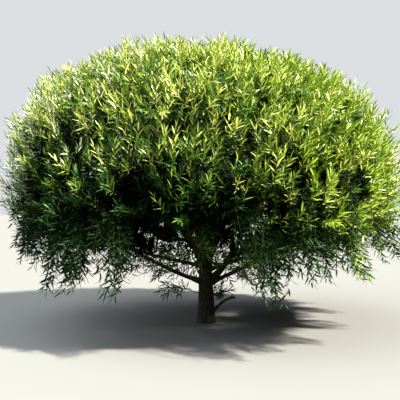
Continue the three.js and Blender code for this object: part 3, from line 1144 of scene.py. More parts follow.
@dataclass(frozen=True)
class LeafRule:
    """How leaves sit along a shoot, turning round it from foot to tip.

    Turns are in radians and leans in degrees.
    """

    form: LeafForm = LANCE
    per_shoot: int = 13
    first: float = 0.2
    last: float = 1.0
    furthest: float = 0.995
    place_varies: float = 0.6
    length: float = 0.09
    length_varies: float = 0.35
    least_size: float = 0.7
    size_swell: float = 0.4
    swell_from: float = 0.12
    swell_run: float = 0.72
    turn: float = 2.4
    turn_varies: float = 0.9
    lean_at_foot: float = 46.0
    lean_at_tip: float = 27.0
    lean_varies: float = 17.0
    lean_of_end_leaf: float = 6.0
    sag: float = 0.05
    faces_up: float = 0.45
    roll: float = 0.6

    def grow(
        self, shoots: Curves, scale: Floats, keys: Whole, limit: Callable[[Floats], NDArray[np.bool_]]
    ) -> tuple[Floats, Whole]:
        """The leaves of a bundle of shoots.

        Args:
            shoots: The shoots.
            scale: A size for the leaves of each shoot, about 1.
            keys: A whole number that stands for each shoot.
            limit: Says of each leaf tip whether the leaf is kept.

        Returns:
            The corners of the kept leaves, and each one's shoot number.
        """
        number = np.arange(self.per_shoot)
        key = keys[:, None]
        place = number + self.place_varies * chance(key, number, Draw.LEAF_PLACE)
        place = place / (self.per_shoot - 1 + self.place_varies)
        share = np.minimum(self.first + (self.last - self.first) * place, self.furthest)
        root, tangent = shoots.points(share), shoots.tangents(share)
        turn = self.turn * number + 2 * math.pi * chance(key, Draw.LEAF_FIRST_TURN)
        turn = turn + self.turn_varies * (chance(key, number, Draw.LEAF_TURN) - 0.5)
        outward = turned(tangent, turn)
        is_end_leaf = (number == self.per_shoot - 1) & (self.last == 1)
        lean = self.lean_at_foot + (self.lean_at_tip - self.lean_at_foot) * share
        lean = lean + self.lean_varies * (chance(key, number, Draw.LEAF_LEAN) - 0.5)
        lean = np.radians(np.where(is_end_leaf, self.lean_of_end_leaf, lean))[..., None]
        direction = unit(tangent * np.cos(lean) + outward * np.sin(lean) - UP * self.sag)
        roll = self.roll * (2 * chance(key, number, Draw.LEAF_ROLL) - 1)
        facing = tangent + UP * self.faces_up + turned(tangent, turn + math.pi / 2) * roll[..., None]
        facing = unit(facing - direction * np.sum(facing * direction, axis=-1, keepdims=True))
        swell = np.sin(math.pi * (self.swell_from + self.swell_run * place))
        varied = 1 + self.length_varies * (chance(key, number, Draw.LEAF_SIZE) - 0.5)
        length = self.length * scale[:, None] * (self.least_size + self.size_swell * swell) * varied
        kept = limit(root + direction * length[..., None])
        owner = np.broadcast_to(np.arange(len(keys))[:, None], kept.shape)[kept]
        return self.form.corners(root[kept], direction[kept], facing[kept], length[kept]), owner


def all_round(radii: Floats, sides: int) -> Floats:
    """The same radius on every side at each step of a limb."""
    return np.repeat(radii[:, None], sides, axis=1)


@dataclass(frozen=True)
class Limb:
    """A tapering limb along a path, with the relief of its bark, which is fainter where it is thin."""

    path: Floats
    tangents: Floats
    radii: Floats
    relief: Relief
    faintest: float = 0.25

    def add_to(self, shape: Shape) -> None:
        """Adds the limb's skin to a shape.

        Args:
            shape: The shape that grows.
        """
        steps = np.linalg.norm(np.diff(self.path, axis=0), axis=1)
        along = np.concatenate([[0.0], np.cumsum(steps)])
        sides = self.radii.shape[1]
        turn = 2 * math.pi * np.arange(sides) / sides
        grid_turn, grid_along = np.broadcast_arrays(turn, along[:, None])
        height, depth = self.relief.heights(grid_turn, grid_along)
        mean = self.radii.mean(axis=1, keepdims=True)
        radii = self.radii + height * np.clip(mean / mean.max(), self.faintest, 1)
        corners, faces = tubes(self.path[None], self.tangents[None], radii[None])
        shape.add(corners, faces, values=depth.ravel())


@dataclass
class Skeleton:
    """The trunk and boughs: their paths, and their skins of furrowed bark."""

    trunk_foot_radius: float = 0.1
    trunk_fork_radius: float = 0.06
    trunk_lean_left: float = 0.01
    trunk_sides: int = 84
    trunk_step: float = 0.009
    leader_steps: int = 110
    flare_width: float = 0.015
    flare_height: float = 0.055
    root_lobes: int = 5
    root_lobe_depth: float = 0.008
    bough_tip_radius: float = 0.015
    taper_power: float = 0.8
    collar_swell: float = 0.5
    collar_length: float = 0.055
    bough_sides: int = 26
    bough_step: float = 0.016
    parent_radius: float = 0.03
    leader_relief: Relief = Relief(furrows=13, plate_length=0.11, depth=0.0075, knobs=0.012, salt=5)
    bough_relief: Relief = Relief(furrows=7, plate_length=0.085, depth=0.0026, knobs=0.006, salt=20)
    bough_salts: int = 10
    paths: dict[str, Curves] = field(default_factory=dict)

    def __post_init__(self) -> None:
        """Works out the path of the trunk and of each bough, parents first."""
        self.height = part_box("trunk")[1].z
        foot, fork = np.zeros(3), np.array([-self.trunk_lean_left, 0.0, self.height])
        self.trunk = Curves.between(foot[None], UP[None], fork[None], UP[None])
        for bough in sorted(BOUGHS, key=lambda one: bool(one.parent)):
            if bough.parent:
                start = self.paths[bough.parent].points(np.array([bough.along]))[:, 0]
            else:
                start = self.axis(bough.height)[None]
            self.paths[bough.name] = Curves.between(
                start,
                heading(bough.bearing, bough.rise)[None],
                bough.tier.tip(bough.bearing)[None],
                heading(bough.bearing, bough.tier.tip_rise)[None],
            )

    def axis(self, height: float) -> Floats:
        """The middle of the trunk at a height."""
        return self.trunk.points(np.array([height / self.height]))[0, 0]

    def trunk_radii(self, share: Floats) -> Floats:
        """The trunk's radii all round, with its root flare.

        Args:
            share: Shares of its height.

        Returns:
            One row of radii for each share.
        """
        turn = 2 * math.pi * np.arange(self.trunk_sides) / self.trunk_sides
        flare = np.exp(-share * self.height / self.flare_height)[:, None]
        lobes = self.root_lobe_depth * np.cos(self.root_lobes * turn)
        straight = self.trunk_foot_radius + (self.trunk_fork_radius - self.trunk_foot_radius) * share
        return straight[:, None] + (self.flare_width + lobes) * flare

    def leader(self) -> Limb:
        """The trunk and the leader that runs on from its fork.

        Returns:
            Both as one limb.
        """
        low = np.linspace(0, 1, round(self.height / self.trunk_step))
        high = np.linspace(0, 1, self.leader_steps)[1:]
        top = self.paths["top"]
        narrowing = self.trunk_fork_radius + (self.bough_tip_radius - self.trunk_fork_radius) * high
        return Limb(
            np.concatenate([self.trunk.points(low)[0], top.points(high)[0]]),
            np.concatenate([self.trunk.tangents(low)[0], top.tangents(high)[0]]),
            np.concatenate([self.trunk_radii(low), all_round(narrowing, self.trunk_sides)]),
            self.leader_relief,
        )

    def limb(self, bough: Bough) -> Limb:
        """A bough, swollen into a collar where it leaves what carries it.

        Args:
            bough: The bough.

        Returns:
            The bough as a limb.
        """
        curve = self.paths[bough.name]
        length = np.linalg.norm(curve.controls[0, 3] - curve.controls[0, 0])
        share = np.linspace(0, 1, round(length / self.bough_step))
        if bough.parent:
            carrier = self.parent_radius
        else:
            carrier = self.trunk_radii(np.array([bough.height / self.height])).mean()
        exit_share = carrier / math.cos(math.radians(bough.rise)) / length
        collar = np.exp(-np.maximum(share - exit_share, 0) * length / self.collar_length)
        plain = bough.radius + (self.bough_tip_radius - bough.radius) * share**self.taper_power
        radii = all_round(plain * (1 + self.collar_swell * collar), self.bough_sides)
        salt = self.bough_relief.salt + self.bough_salts * BOUGHS.index(bough)
        relief = replace(self.bough_relief, salt=salt)
        return Limb(curve.points(share)[0], curve.tangents(share)[0], radii, relief)


@dataclass(frozen=True)
class Shoots:
    """A bundle of leafy shoots, with a whole number and a size for the leaves of each."""

    curves: Curves
    keys: Whole
    scale: Floats

    @property
    def tips(self) -> Floats:
        """Where each shoot ends."""
        return self.curves.controls[:, 3]


@dataclass(frozen=True)
class Growth:
    """A mass's bough and all that grows from it, thickest first, its stem leading the carriers."""

    limb: Curves
    carriers: Curves
    branchlets: Curves
    sprigs: Shoots
    shoots: Shoots
    hanging: Shoots


@dataclass(frozen=True)
class Lobe:
    """A bunch of long shoots that hangs below the hem, to a lowest height in its middle."""

    bearing: float
    half_angle: float
    bottom: float
    number: int


LOBES = (
    Lobe(228, 9, 0.56, 60),
    Lobe(246, 3.5, 0.55, 30),
    Lobe(286, 5.5, 0.52, 44),
    Lobe(301, 6, 0.62, 28),
    Lobe(317, 7, 0.66, 26),
    Lobe(206, 7, 0.76, 20),
    Lobe(180, 6, 0.72, 20),
    Lobe(158, 8, 0.6, 36),
    Lobe(138, 5, 0.64, 24),
    Lobe(112, 5, 0.74, 18),
    Lobe(80, 5, 0.74, 18),
    Lobe(58, 6, 0.62, 26),
    Lobe(36, 9, 0.6, 40),
    Lobe(12, 6, 0.72, 20),
    Lobe(343, 7, 0.76, 20),
)


@dataclass(frozen=True)
class TwigRule:
    """A mass's stem, and the twigs that fork off it and share out the mass's surface."""

    per_mass: int = 13
    stem_reach: float = 0.96
    start: float = 0.7
    start_varies: float = 0.09
    spread: float = 0.93
    reach: float = 0.93
    reach_varies: float = 0.07

    def stem(self, crown: Crown, index: int, bough: Curves) -> Curves:
        """A mass's stem, which runs on from its bough's tip to the crown's surface.

        Args:
            crown: The crown.
            index: The mass's place in BOUGHS.
            bough: Its bough.

        Returns:
            One curve.
        """
        tip, seed = np.array([1.0]), SEEDS[index][None]
        return Curves.between(
            bough.points(tip)[:, 0],
            bough.tangents(tip)[:, 0],
            crown.point(seed, self.stem_reach),
            crown.shoot_heading(seed),
        )

    def twigs(self, crown: Crown, index: int, stem: Curves) -> Curves:
        """A mass's twigs, which share its surface evenly.

        Args:
            crown: The crown.
            index: The mass's place in BOUGHS.
            stem: The stem that they fork off.

        Returns:
            One curve for each twig.
        """
        number = np.arange(self.per_mass)
        bearing = number * GOLDEN_TURN + 2 * math.pi * float(chance(index, Draw.TWIG_TURN))
        spread = np.sqrt((number + 0.5) / self.per_mass)

        def passes(direction: Floats) -> NDArray[np.bool_]:
            """Whether the crown is deep enough there and the place is the mass's own."""
            own = crown.clearance(index, crown.point(direction, 1.0)) >= 0
            return crown.is_deep(index, direction) & own

        angle = self.spread * spread * crown.widest_angle(index, bearing, passes)
        direction = crown.off_seed(index, bearing, angle)
        end = crown.point(direction, self.reach - self.reach_varies * chance(index, number, Draw.TWIG_REACH))
        tip_share = np.linalg.norm(stem.controls[0, 0] - crown.heart) / crown.reach(SEEDS[index])
        start_share = self.start + self.start_varies * (1 - spread * chance(index, number, Draw.TWIG_START))
        along = (start_share - tip_share) / (self.stem_reach - tip_share)
        start, tangent = stem.points(along)[0], stem.tangents(along)[0]
        leaving = unit(unit(end - start) + tangent)
        return Curves.between(start, leaving, end, crown.shoot_heading(direction))


@dataclass(frozen=True)
class BranchletRule:
    """A mass's branchlets, spread over the crown by the golden angle.

    The feet are the first and last share along a parent where they leave it, and how many.
    """

    targets: int = 2700
    start: float = 0.62
    reach: float = 0.88
    reach_varies: float = 0.14
    feet: tuple[float, float, int] = (0.12, 0.9, 14)
    outer_from: float = 0.8
    outer_cost: float = 2.0

    def grow(self, crown: Crown, index: int, parents: Curves) -> Curves:
        """A mass's branchlets, each grown from the nearest foot on a parent.

        Args:
            crown: The crown.
            index: The mass's place in BOUGHS.
            parents: The mass's stem and twigs.

        Returns:
            One curve for each branchlet.
        """
        number = np.arange(self.targets)
        z = 1 - 2 * (number + 0.5) / self.targets
        level, turn = np.sqrt(1 - z * z), number * GOLDEN_TURN
        direction = np.stack([level * np.cos(turn), level * np.sin(turn), z], axis=1)
        near = np.argmax(direction @ SEEDS.T, axis=1) == index
        number, direction = number[near], direction[near]
        even = chance(number, Draw.BRANCHLET_EVENNESS) < (crown.reach(direction) / crown.half_width) ** 2
        open_air = crown.hollow_clearance(crown.point(direction, 1.0)) >= 0
        kept = crown.is_deep(index, direction) & open_air & even
        number, direction = number[kept], direction[kept]
        wish = crown.point(direction, self.start)
        places, tangents = parents.feet(np.linspace(*self.feet))
        distance = np.linalg.norm(wish[:, None] - places, axis=2)
        distance = distance + self.outer_cost * np.maximum(crown.share(places) - self.outer_from, 0)
        nearest = np.argmin(distance, axis=1)
        start, tangent = places[nearest], tangents[nearest]
        end = crown.point(direction, self.reach - self.reach_varies * chance(number, Draw.BRANCHLET_REACH))
        leaving = unit(unit(end - start) + tangent)
        grown = Curves.between(start, leaving, end, crown.shoot_heading(direction))
        return grown.pick(chance(number, Draw.BRANCHLET_CLOSENESS) < crown.closeness(end))


@dataclass(frozen=True)
class SprigRule:
    """Short leafy sprigs along the bare part of a mass's bough."""

    per_bough: int = 36
    first: float = 0.2
    length: float = 0.32
    least_length: float = 0.7
    length_varies: float = 0.6
    outward: float = 0.5
    droop: float = 0.7
    leaf_scale: float = 0.95

    def grow(self, index: int, bough: Curves) -> Shoots:
        """The sprigs of a mass's bough.

        Args:
            index: The mass's place in BOUGHS.
            bough: Its bough.

        Returns:
            The sprigs.
        """
        number = np.arange(self.per_bough)
        key = KeyBase.SPRIG + index * KEYS_PER_GROUP + number
        along = self.first + (1 - self.first) * (number + chance(key, Draw.SPRIG_PLACE)) / self.per_bough
        start, tangent = bough.points(along)[0], bough.tangents(along)[0]
        first_turn = 2 * math.pi * float(chance(index, Draw.SPRIG_TURN))
        outward = turned(tangent, GOLDEN_TURN * number + first_turn)
        leaving = unit(tangent + outward)
        droop = self.droop * chance(key, Draw.SPRIG_DROOP)
        arriving = unit(tangent + self.outward * outward - UP * droop[:, None])
        length = self.length * (self.least_length + self.length_varies * chance(key, Draw.SPRIG_LENGTH))
        end = start + unit(leaving + arriving) * length[:, None]
        return Shoots(Curves.between(start, leaving, end, arriving), key, np.full(len(key), self.leaf_scale))


@dataclass(frozen=True)
class ShootRule:
    """The leafy shoots that fan out along a mass's branchlets, one clump on each.

    A shoot that ends outside the crown's outline is trimmed a number of times. Leans are in degrees.
    """

    per_clump: int = 5
    first: float = 0.3
    last: float = 0.99
    place_varies: float = 0.5
    lean: float = 40.0
    lean_varies: float = 20.0
    end_lean: float = 8.0
    fan: float = 0.5
    end_fan: float = 0.2
    bend: float = 1.4
    length: float = 0.31
    length_varies: float = 0.5
    shortest: float = 0.07
    trims: int = 8
    trim: float = 0.82
    reach: float = 0.912
    clump_reach_varies: float = 0.13
    reach_varies: float = 0.05
    leaf_scale: float = 0.86
    leaf_scale_varies: float = 0.3
    small_leaves_below: float = 1.2
    small_leaves_run: float = 0.4
    small_leaf_loss: float = 0.08

    def grow(self, crown: Crown, index: int, branchlets: Curves) -> Shoots:
        """The leafy shoots of a mass.

        Args:
            crown: The crown.
            index: The mass's place in BOUGHS.
            branchlets: Its branchlets.

        Returns:
            The shoots that stay within the crown's outline.
        """
        owner = np.repeat(np.arange(len(branchlets.controls)), self.per_clump)
        number = np.tile(np.arange(self.per_clump), len(branchlets.controls))
        clump = index * CLUMPS_PER_MASS + owner
        key = clump * KEYS_PER_CLUMP + number
        along = number + self.place_varies * chance(key, Draw.SHOOT_PLACE)
        along = self.first + (1 - self.first) * along / (self.per_clump - 1 + self.place_varies)
        along = np.minimum(along, self.last)[:, None]
        carrier = branchlets.pick(owner)
        start, tangent = carrier.points(along)[:, 0], carrier.tangents(along)[:, 0]
        outward = turned(tangent, GOLDEN_TURN * number + 2 * math.pi * chance(clump, Draw.CLUMP_TURN))
        is_end = number == self.per_clump - 1
        lean = self.lean + self.lean_varies * (chance(key, Draw.SHOOT_LEAN) - 0.5)
        lean = np.radians(np.where(is_end, self.end_lean, lean))[:, None]
        leaving = unit(tangent * np.cos(lean) + outward * np.sin(lean))
        fan = np.where(is_end, self.end_fan, self.fan)[:, None]
        arriving = unit(crown.leafy_heading(unit(start - crown.heart)) + outward * fan)
        way = unit(leaving + self.bend * arriving)
        most = (
            self.reach
            + self.clump_reach_varies * (chance(clump, Draw.CLUMP_REACH) - 0.5)
            + self.reach_varies * (chance(key, Draw.SHOOT_REACH) - 0.5)
        )
        length = self.length * (1 + self.length_varies * (chance(key, Draw.SHOOT_LENGTH) - 0.5))
        for _ in range(self.trims):
            end = start + way * length[:, None]
            beyond = crown.share(end) > most + crown.play(end)
            length = np.where(beyond, length * self.trim, length)
        end = start + way * length[:, None]
        close = chance(key, Draw.SHOOT_CLOSENESS) < crown.closeness(end) * crown.sparseness(end)
        kept = (length > self.shortest) & close & (crown.share(end) <= most + crown.play(end))
        curves, key = Curves.between(start, leaving, end, arriving).pick(kept), key[kept]
        low = np.clip((self.small_leaves_below - end[kept, 2]) / self.small_leaves_run, 0, 1)
        scale = self.leaf_scale + self.leaf_scale_varies * chance(key, Draw.SHOOT_LEAF_SCALE)
        return Shoots(curves, key, scale * (1 - self.small_leaf_loss * low))


@dataclass(frozen=True)
class HangingRule:
    """The long shoots of the hem's lobes, each hung from the nearest foot on a branchlet.

    The feet are the first and last share along a branchlet where they leave it, and how many.
    """

    radius: float = 2.2
    width: float = 0.28
    side_spread: float = 1.6
    height: float = 0.4
    height_power: float = 1.3
    side_rise: float = 0.5
    length: float = 0.34
    inset: float = 0.12
    feet: tuple[float, float, int] = (0.25, 0.95, 8)
    turn_down: float = 0.6
    aside: float = 0.9
    outward: float = 0.3
    outward_varies: float = 0.8
    droop: float = 0.6
    leaf_scale: float = 0.9
    leaf_scale_varies: float = 0.24

    def grow(self, crown: Crown, index: int, branchlets: Curves) -> Shoots:
        """The hanging shoots that a mass's branchlets carry.

        Args:
            crown: The crown.
            index: The mass's place in BOUGHS.
            branchlets: Its branchlets.

        Returns:
            The shoots, which may be none.
        """
        places, tangents = branchlets.feet(np.linspace(*self.feet))
        controls, keys = [np.empty((0, 4, 3))], [np.empty(0, int)]
        for count, lobe in enumerate(LOBES):
            key = KeyBase.HANGING + count * KEYS_PER_GROUP + np.arange(lobe.number)
            side = chance(key, Draw.HANGING_SIDE) + chance(key, Draw.HANGING_OTHER_SIDE) - 1
            side = self.side_spread * side
            bearing = np.radians(lobe.bearing + lobe.half_angle * side)
            outward = np.stack([np.cos(bearing), np.sin(bearing), np.zeros(len(key))], axis=1)
            level = self.radius - self.width * chance(key, Draw.HANGING_RADIUS)
            rise = self.side_rise * side * side + chance(key, Draw.HANGING_HEIGHT) ** self.height_power
            end = outward * level[:, None] + UP * (lobe.bottom + self.height * rise)[:, None]
            own = np.argmax(unit(end - crown.heart) @ SEEDS.T, axis=1) == index
            end, outward, key = end[own], outward[own], key[own]
            wish = end + UP * self.length - outward * self.inset
            nearest = np.argmin(np.linalg.norm(wish[:, None] - places, axis=2), axis=1)
            start = places[nearest]
            leaving = unit(tangents[nearest] + self.turn_down * unit(end - start))
            aside = self.aside * (2 * chance(key, Draw.HANGING_ASIDE) - 1)
            spread = self.outward + self.outward_varies * chance(key, Draw.HANGING_OUTWARD)
            sideways = np.cross(UP, outward) * aside[:, None]
            arriving = unit(sideways + outward * spread[:, None] - self.droop * UP)
            controls.append(Curves.between(start, leaving, end, arriving).controls)
            keys.append(key)
        key = np.concatenate(keys)
        scale = self.leaf_scale + self.leaf_scale_varies * chance(key, Draw.HANGING_LEAF_SCALE)
        return Shoots(Curves(np.concatenate(controls)), key, scale)


@dataclass(frozen=True)
class Grower:
    """The rules by which twigs, branchlets and shoots share out the crown."""

    crown: Crown
    skeleton: Skeleton
    wood: TwigRule = TwigRule()
    branchlets: BranchletRule = BranchletRule()
    sprigs: SprigRule = SprigRule()
    shoots: ShootRule = ShootRule()
    hanging: HangingRule = HangingRule()

    def grow(self, index: int) -> Growth:
        """Everything that grows from one mass's bough.

        Args:
            index: The mass's place in BOUGHS.

        Returns:
            The bough and its growth.
        """
        bough = self.skeleton.paths[BOUGHS[index].name]
        stem = self.wood.stem(self.crown, index, bough)
        twigs = self.wood.twigs(self.crown, index, stem)
        carriers = Curves(np.concatenate([stem.controls, twigs.controls]))
        branchlets = self.branchlets.grow(self.crown, index, carriers)
        return Growth(
            limb=bough,
            carriers=carriers,
            branchlets=branchlets,
            sprigs=self.sprigs.grow(index, bough),
            shoots=self.shoots.grow(self.crown, index, branchlets),
            hanging=self.hanging.grow(self.crown, index, branchlets),
        )


@dataclass(frozen=True)
class Rod:
    """The radii of a kind of twig at its root and tip, and how finely it is made."""

    root: float
    tip: float
    sides: int
    steps: int

    def add_to(self, shape: Shape, curves: Curves) -> None:
        """Adds an even tapering tube along each curve to a shape.

        Args:
            shape: The shape that grows.
            curves: The paths.
        """
        share = np.linspace(0, 1, self.steps)
        taper = self.root + (self.tip - self.root) * share
        radii = np.tile(taper[:, None], (len(curves.controls), 1, self.sides))
        shape.add(*tubes(curves.points(share), curves.tangents(share), radii))


@dataclass(frozen=True)
class Shading:
    """How the greens are dealt out by shoot as painted light and shade, for light from above and the right.
    """

    crown: Crown
    sunward_bearing: float = 0.0
    sunward_slope: float = 84.0
    lit_from: float = -0.35
    lit_run: float = 0.75
    most_lit_above: float = 0.85
    most_lit: float = 0.88
    sunny_run: float = 1.8
    sunny_side: float = 0.5
    outer_from: float = 0.8
    outer_run: float = 0.16
    by_outer: float = 0.5
    by_light: float = 0.85
    by_chance: float = 0.75
    darker: float = 0.64
    # How many sprays on the right take the painted sunlight.
    painted_sun_share: float = 0.8
    # Where the painted glint falls, towards the upper left, and how often.
    glint_bearing: float = 200.0
    glint_slope: float = 37.0
    glint_from: float = 0.7
    glint_run: float = 0.2
    glint_share: float = 0.6
    # The inner leaves' painted shade, lightened a little towards the light.
    inner_by_light: float = 3.2
    inner_darker: float = 1.7
    # The hem's painted shade, and how it gives way to livelier greens on the right.
    hem_sunny_from: float = 0.4
    hem_sunny_run: float = 0.5
    hem_livelier: float = 3.0
    hem_fade: float = 1.2

    def lit(self, points: Floats) -> Floats:
        """How much light reaches the crown on the side of each point, least below and most on top."""
        toward = unit(points - self.crown.heart) @ heading(self.sunward_bearing, self.sunward_slope)
        return np.minimum(ramp(toward, self.lit_from, self.lit_run), self.most_lit_above)

    def sunny(self, points: Floats) -> Floats:
        """How far each point lies on the crown's sunny side, from 0 to 1 on the right."""
        return ramp(points[:, 0], 0, self.sunny_run)

    def outer(self, shoots: Shoots) -> Whole:
        """The green of each leafy shoot, as painted light and shade: bright outside, above and on the right,
        deep within.

        Many take a painted sunlit olive on the right, and a painted whitish glint at the upper left.

        Args:
            shoots: The shoots.

        Returns:
            A green for each, as its number.
        """
        keys, tips = shoots.keys, shoots.tips
        out = ramp(self.crown.share(tips), self.outer_from, self.outer_run)
        sunny = self.sunny(tips)
        lit = np.minimum(self.lit(tips) + self.sunny_side * sunny, self.most_lit)
        tone = self.by_outer * out + self.by_light * lit + self.by_chance * chance(keys, Draw.SHOOT_TONE)
        green = np.floor(1 + (tone - self.darker) * Green.YOUNG_AND_SUNLIT).astype(int)
        green = np.clip(green, Green.PAINTED_SHADE, Green.YOUNG_AND_SUNLIT)
        # The olive green is painted sunlight on the right.
        gets_painted_sun = (green >= Green.DEEP) & (chance(keys, Draw.PAINTED_SUN) < self.painted_sun_share * sunny)
        green = np.where(gets_painted_sun, Green.PAINTED_SUN, green)
        # The whitish green is a painted glint on outer sprays at the upper left.
        toward = unit(tips - self.crown.heart) @ heading(self.glint_bearing, self.glint_slope)
        glinting = self.glint_share * ramp(toward, self.glint_from, self.glint_run) * out
        return np.where(chance(keys, Draw.PAINTED_GLINT) < glinting, Green.PAINTED_GLINT, green)

    def inner(self, tips: Floats) -> Whole:
        """The green of the inner leaves round each branchlet: painted shade, near black, a little lighter
        towards the light.
        """
        tone = self.inner_by_light * self.lit(tips) - self.inner_darker
        return np.clip(tone, Green.PAINTED_SHADE, Green.DEEP).astype(int)

    def hem(self, shoots: Shoots) -> Whole:
        """The green of each hanging shoot: painted shade, nearly black under the crown, livelier on the right
        as painted sunlight.

        Args:
            shoots: The shoots.

        Returns:
            A green for each, as its number.
        """
        sunny = ramp(self.sunny(shoots.tips), self.hem_sunny_from, self.hem_sunny_run)
        tone = (1 + self.hem_livelier * sunny) * chance(shoots.keys, Draw.HANGING_TONE)
        # Most hanging shoots get the painted shade, fewer towards the right.
        dark = chance(shoots.keys, Draw.PAINTED_HEM_SHADE) < 1 - self.hem_fade * sunny
        return np.where(dark, Green.PAINTED_HEM_SHADE, Green.SHADED + tone.astype(int))


@dataclass(frozen=True)
class Dresser:
    """Turns what has grown into pieces: twigs and leaves for each mass."""

    crown: Crown
    shading: Shading
    twig_bark: bpy.types.Material
    greens: tuple[bpy.types.Material, ...]
    stem_rod: Rod = Rod(root=0.0155, tip=0.003, sides=8, steps=16)
    twig_rod: Rod = Rod(root=0.0085, tip=0.0022, sides=5, steps=8)
    branchlet_rod: Rod = Rod(root=0.0042, tip=0.0018, sides=3, steps=6)
    shoot_rod: Rod = Rod(root=0.002, tip=0.001, sides=3, steps=3)
    shoot_leaves: LeafRule = LeafRule()
    end_leaves: LeafRule = LeafRule(per_shoot=26, first=0.55)
    sprig_leaves: LeafRule = LeafRule(per_shoot=14, lean_at_foot=64, lean_at_tip=35, sag=0.2)
    inner_leaves: LeafRule = LeafRule(
        form=KITE, per_shoot=22, first=0.06, last=0.85, length=0.15, lean_at_foot=75, lean_at_tip=50
    )
    hub_leaves: LeafRule = LeafRule(per_shoot=20, first=0.02, last=0.6, lean_at_foot=75, lean_at_tip=55)
    core_shade_leaves: LeafRule = LeafRule(
        form=KITE, per_shoot=64, first=0.05, last=0.88, length=0.19, lean_at_foot=80, lean_at_tip=62
    )
    limb_shade_leaves: LeafRule = LeafRule(
        form=KITE, per_shoot=220, first=0.3, last=0.99, length=0.23, lean_at_foot=80, lean_at_tip=62
    )
    hanging_leaves: LeafRule = LeafRule(
        form=HEM_LANCE, per_shoot=21, first=0.12, length=0.092,
        lean_at_foot=64, lean_at_tip=44, lean_varies=21, sag=0,
    )
    core_share: float = 0.8
    core_height: float = 1.05
    outermost: float = 0.985
    highest: float = 3.3
    under_crown_radius: float = 1.3
    under_crown_height: float = 1.6
    lowest: float = 0.3

    def inside(self, tips: Floats) -> NDArray[np.bool_]:
        """Whether each leaf tip stays within the crown, or under it and clear of the ground.

        Args:
            tips: The leaf tips.

        Returns:
            Whether each leaf is kept.
        """
        height = tips[..., 2]
        within = self.crown.share(tips) < self.outermost + self.crown.play(tips)
        middle = np.hypot(tips[..., 0], tips[..., 1]) < self.under_crown_radius
        under = middle & (height < self.under_crown_height) & (height > self.lowest)
        return (within & (height < self.highest)) | under

    def deep_within(self, tips: Floats) -> NDArray[np.bool_]:
        """Whether each leaf tip is well inside the crown and above its hem."""
        return (self.crown.share(tips) < self.core_share) & (tips[..., 2] > self.core_height)

    def clear(self, tips: Floats) -> NDArray[np.bool_]:
        """Whether each leaf tip is clear of the ground."""
        return tips[..., 2] > self.lowest

    def twigs(self, bough: Bough, growth: Growth) -> bpy.types.Object:
        """The bare wood of a mass, from its stem to its finest shoots.

        Args:
            bough: The mass's bough.
            growth: What has grown from it.

        Returns:
            The piece.
        """
        shape = Shape()
        self.stem_rod.add_to(shape, growth.carriers.pick(np.array([0])))
        self.twig_rod.add_to(shape, growth.carriers.pick(np.arange(1, len(growth.carriers.controls))))
        self.branchlet_rod.add_to(shape, growth.branchlets)
        for shoots in (growth.sprigs, growth.shoots, growth.hanging):
            self.shoot_rod.add_to(shape, shoots.curves)
        return shape.build(f"twigs_{bough.name}", [self.twig_bark])

    def leaves(self, bough: Bough, growth: Growth) -> bpy.types.Object:
        """The leaves of a mass, from its outer shoots to the near-black ones round its bough, which are
        painted shade.

        Args:
            bough: The mass's bough.
            growth: What has grown from it.

        Returns:
            The piece.
        """
        shape, shading, one = Shape(), self.shading, np.ones(1)
        inner = Shoots(growth.branchlets, np.arange(len(growth.branchlets.controls)), one)
        ends = Shoots(growth.carriers, KeyBase.CARRIER + np.arange(len(growth.carriers.controls)), one)
        limb = Shoots(growth.limb, np.array([KeyBase.LIMB + BOUGHS.index(bough)]), one)
        for rule, shoots, tint, limit in (
            (self.shoot_leaves, growth.shoots, shading.outer(growth.shoots), self.inside),
            (self.end_leaves, ends, shading.outer(ends), self.inside),
            # Hub leaves along the stem and twigs take a fixed dark green as painted shade.
            (self.hub_leaves, ends, np.full(len(ends.keys), Green.SHADED), self.inside),
            (self.sprig_leaves, growth.sprigs, shading.outer(growth.sprigs), self.inside),
            (self.inner_leaves, inner, shading.inner(inner.tips), self.inside),
            (self.hanging_leaves, growth.hanging, shading.hem(growth.hanging), self.clear),
            # Core and limb leaves are large near-black leaves that fill the crown's middle as painted shade.
            (self.core_shade_leaves, ends, np.full(len(ends.keys), Green.PAINTED_SHADE), self.deep_within),
            (self.limb_shade_leaves, limb, np.array([Green.PAINTED_SHADE]), self.deep_within),
        ):
            corners, owner = rule.grow(shoots.curves, shoots.scale, shoots.keys, limit)
            shape.add_leaves(rule.form, corners, tint[owner])
        return shape.build(f"leaves_{bough.name}", self.greens)


@dataclass(frozen=True)
class SideStem:
    """The run of a thin stem that leaves the trunk low down and then droops."""

    bearing: float
    height: float
    rise: float
    length: float
    droop: float

    def curve(self, skeleton: Skeleton) -> Curves:
        """The stem's path from the middle of the trunk.

        Args:
            skeleton: The trunk and boughs.

        Returns:
            One curve.
        """
        start, leaving = skeleton.axis(self.height), heading(self.bearing, self.rise)
        end = start + leaving * self.length - UP * self.droop
        return Curves.between(start[None], leaving[None], end[None], heading(self.bearing, 0)[None])


@dataclass(frozen=True)
class SideTwig:
    """A side twig: its share of the way along a shoot, its turn off the shoot and its rise."""

    along: float
    turn: float
    rise: float


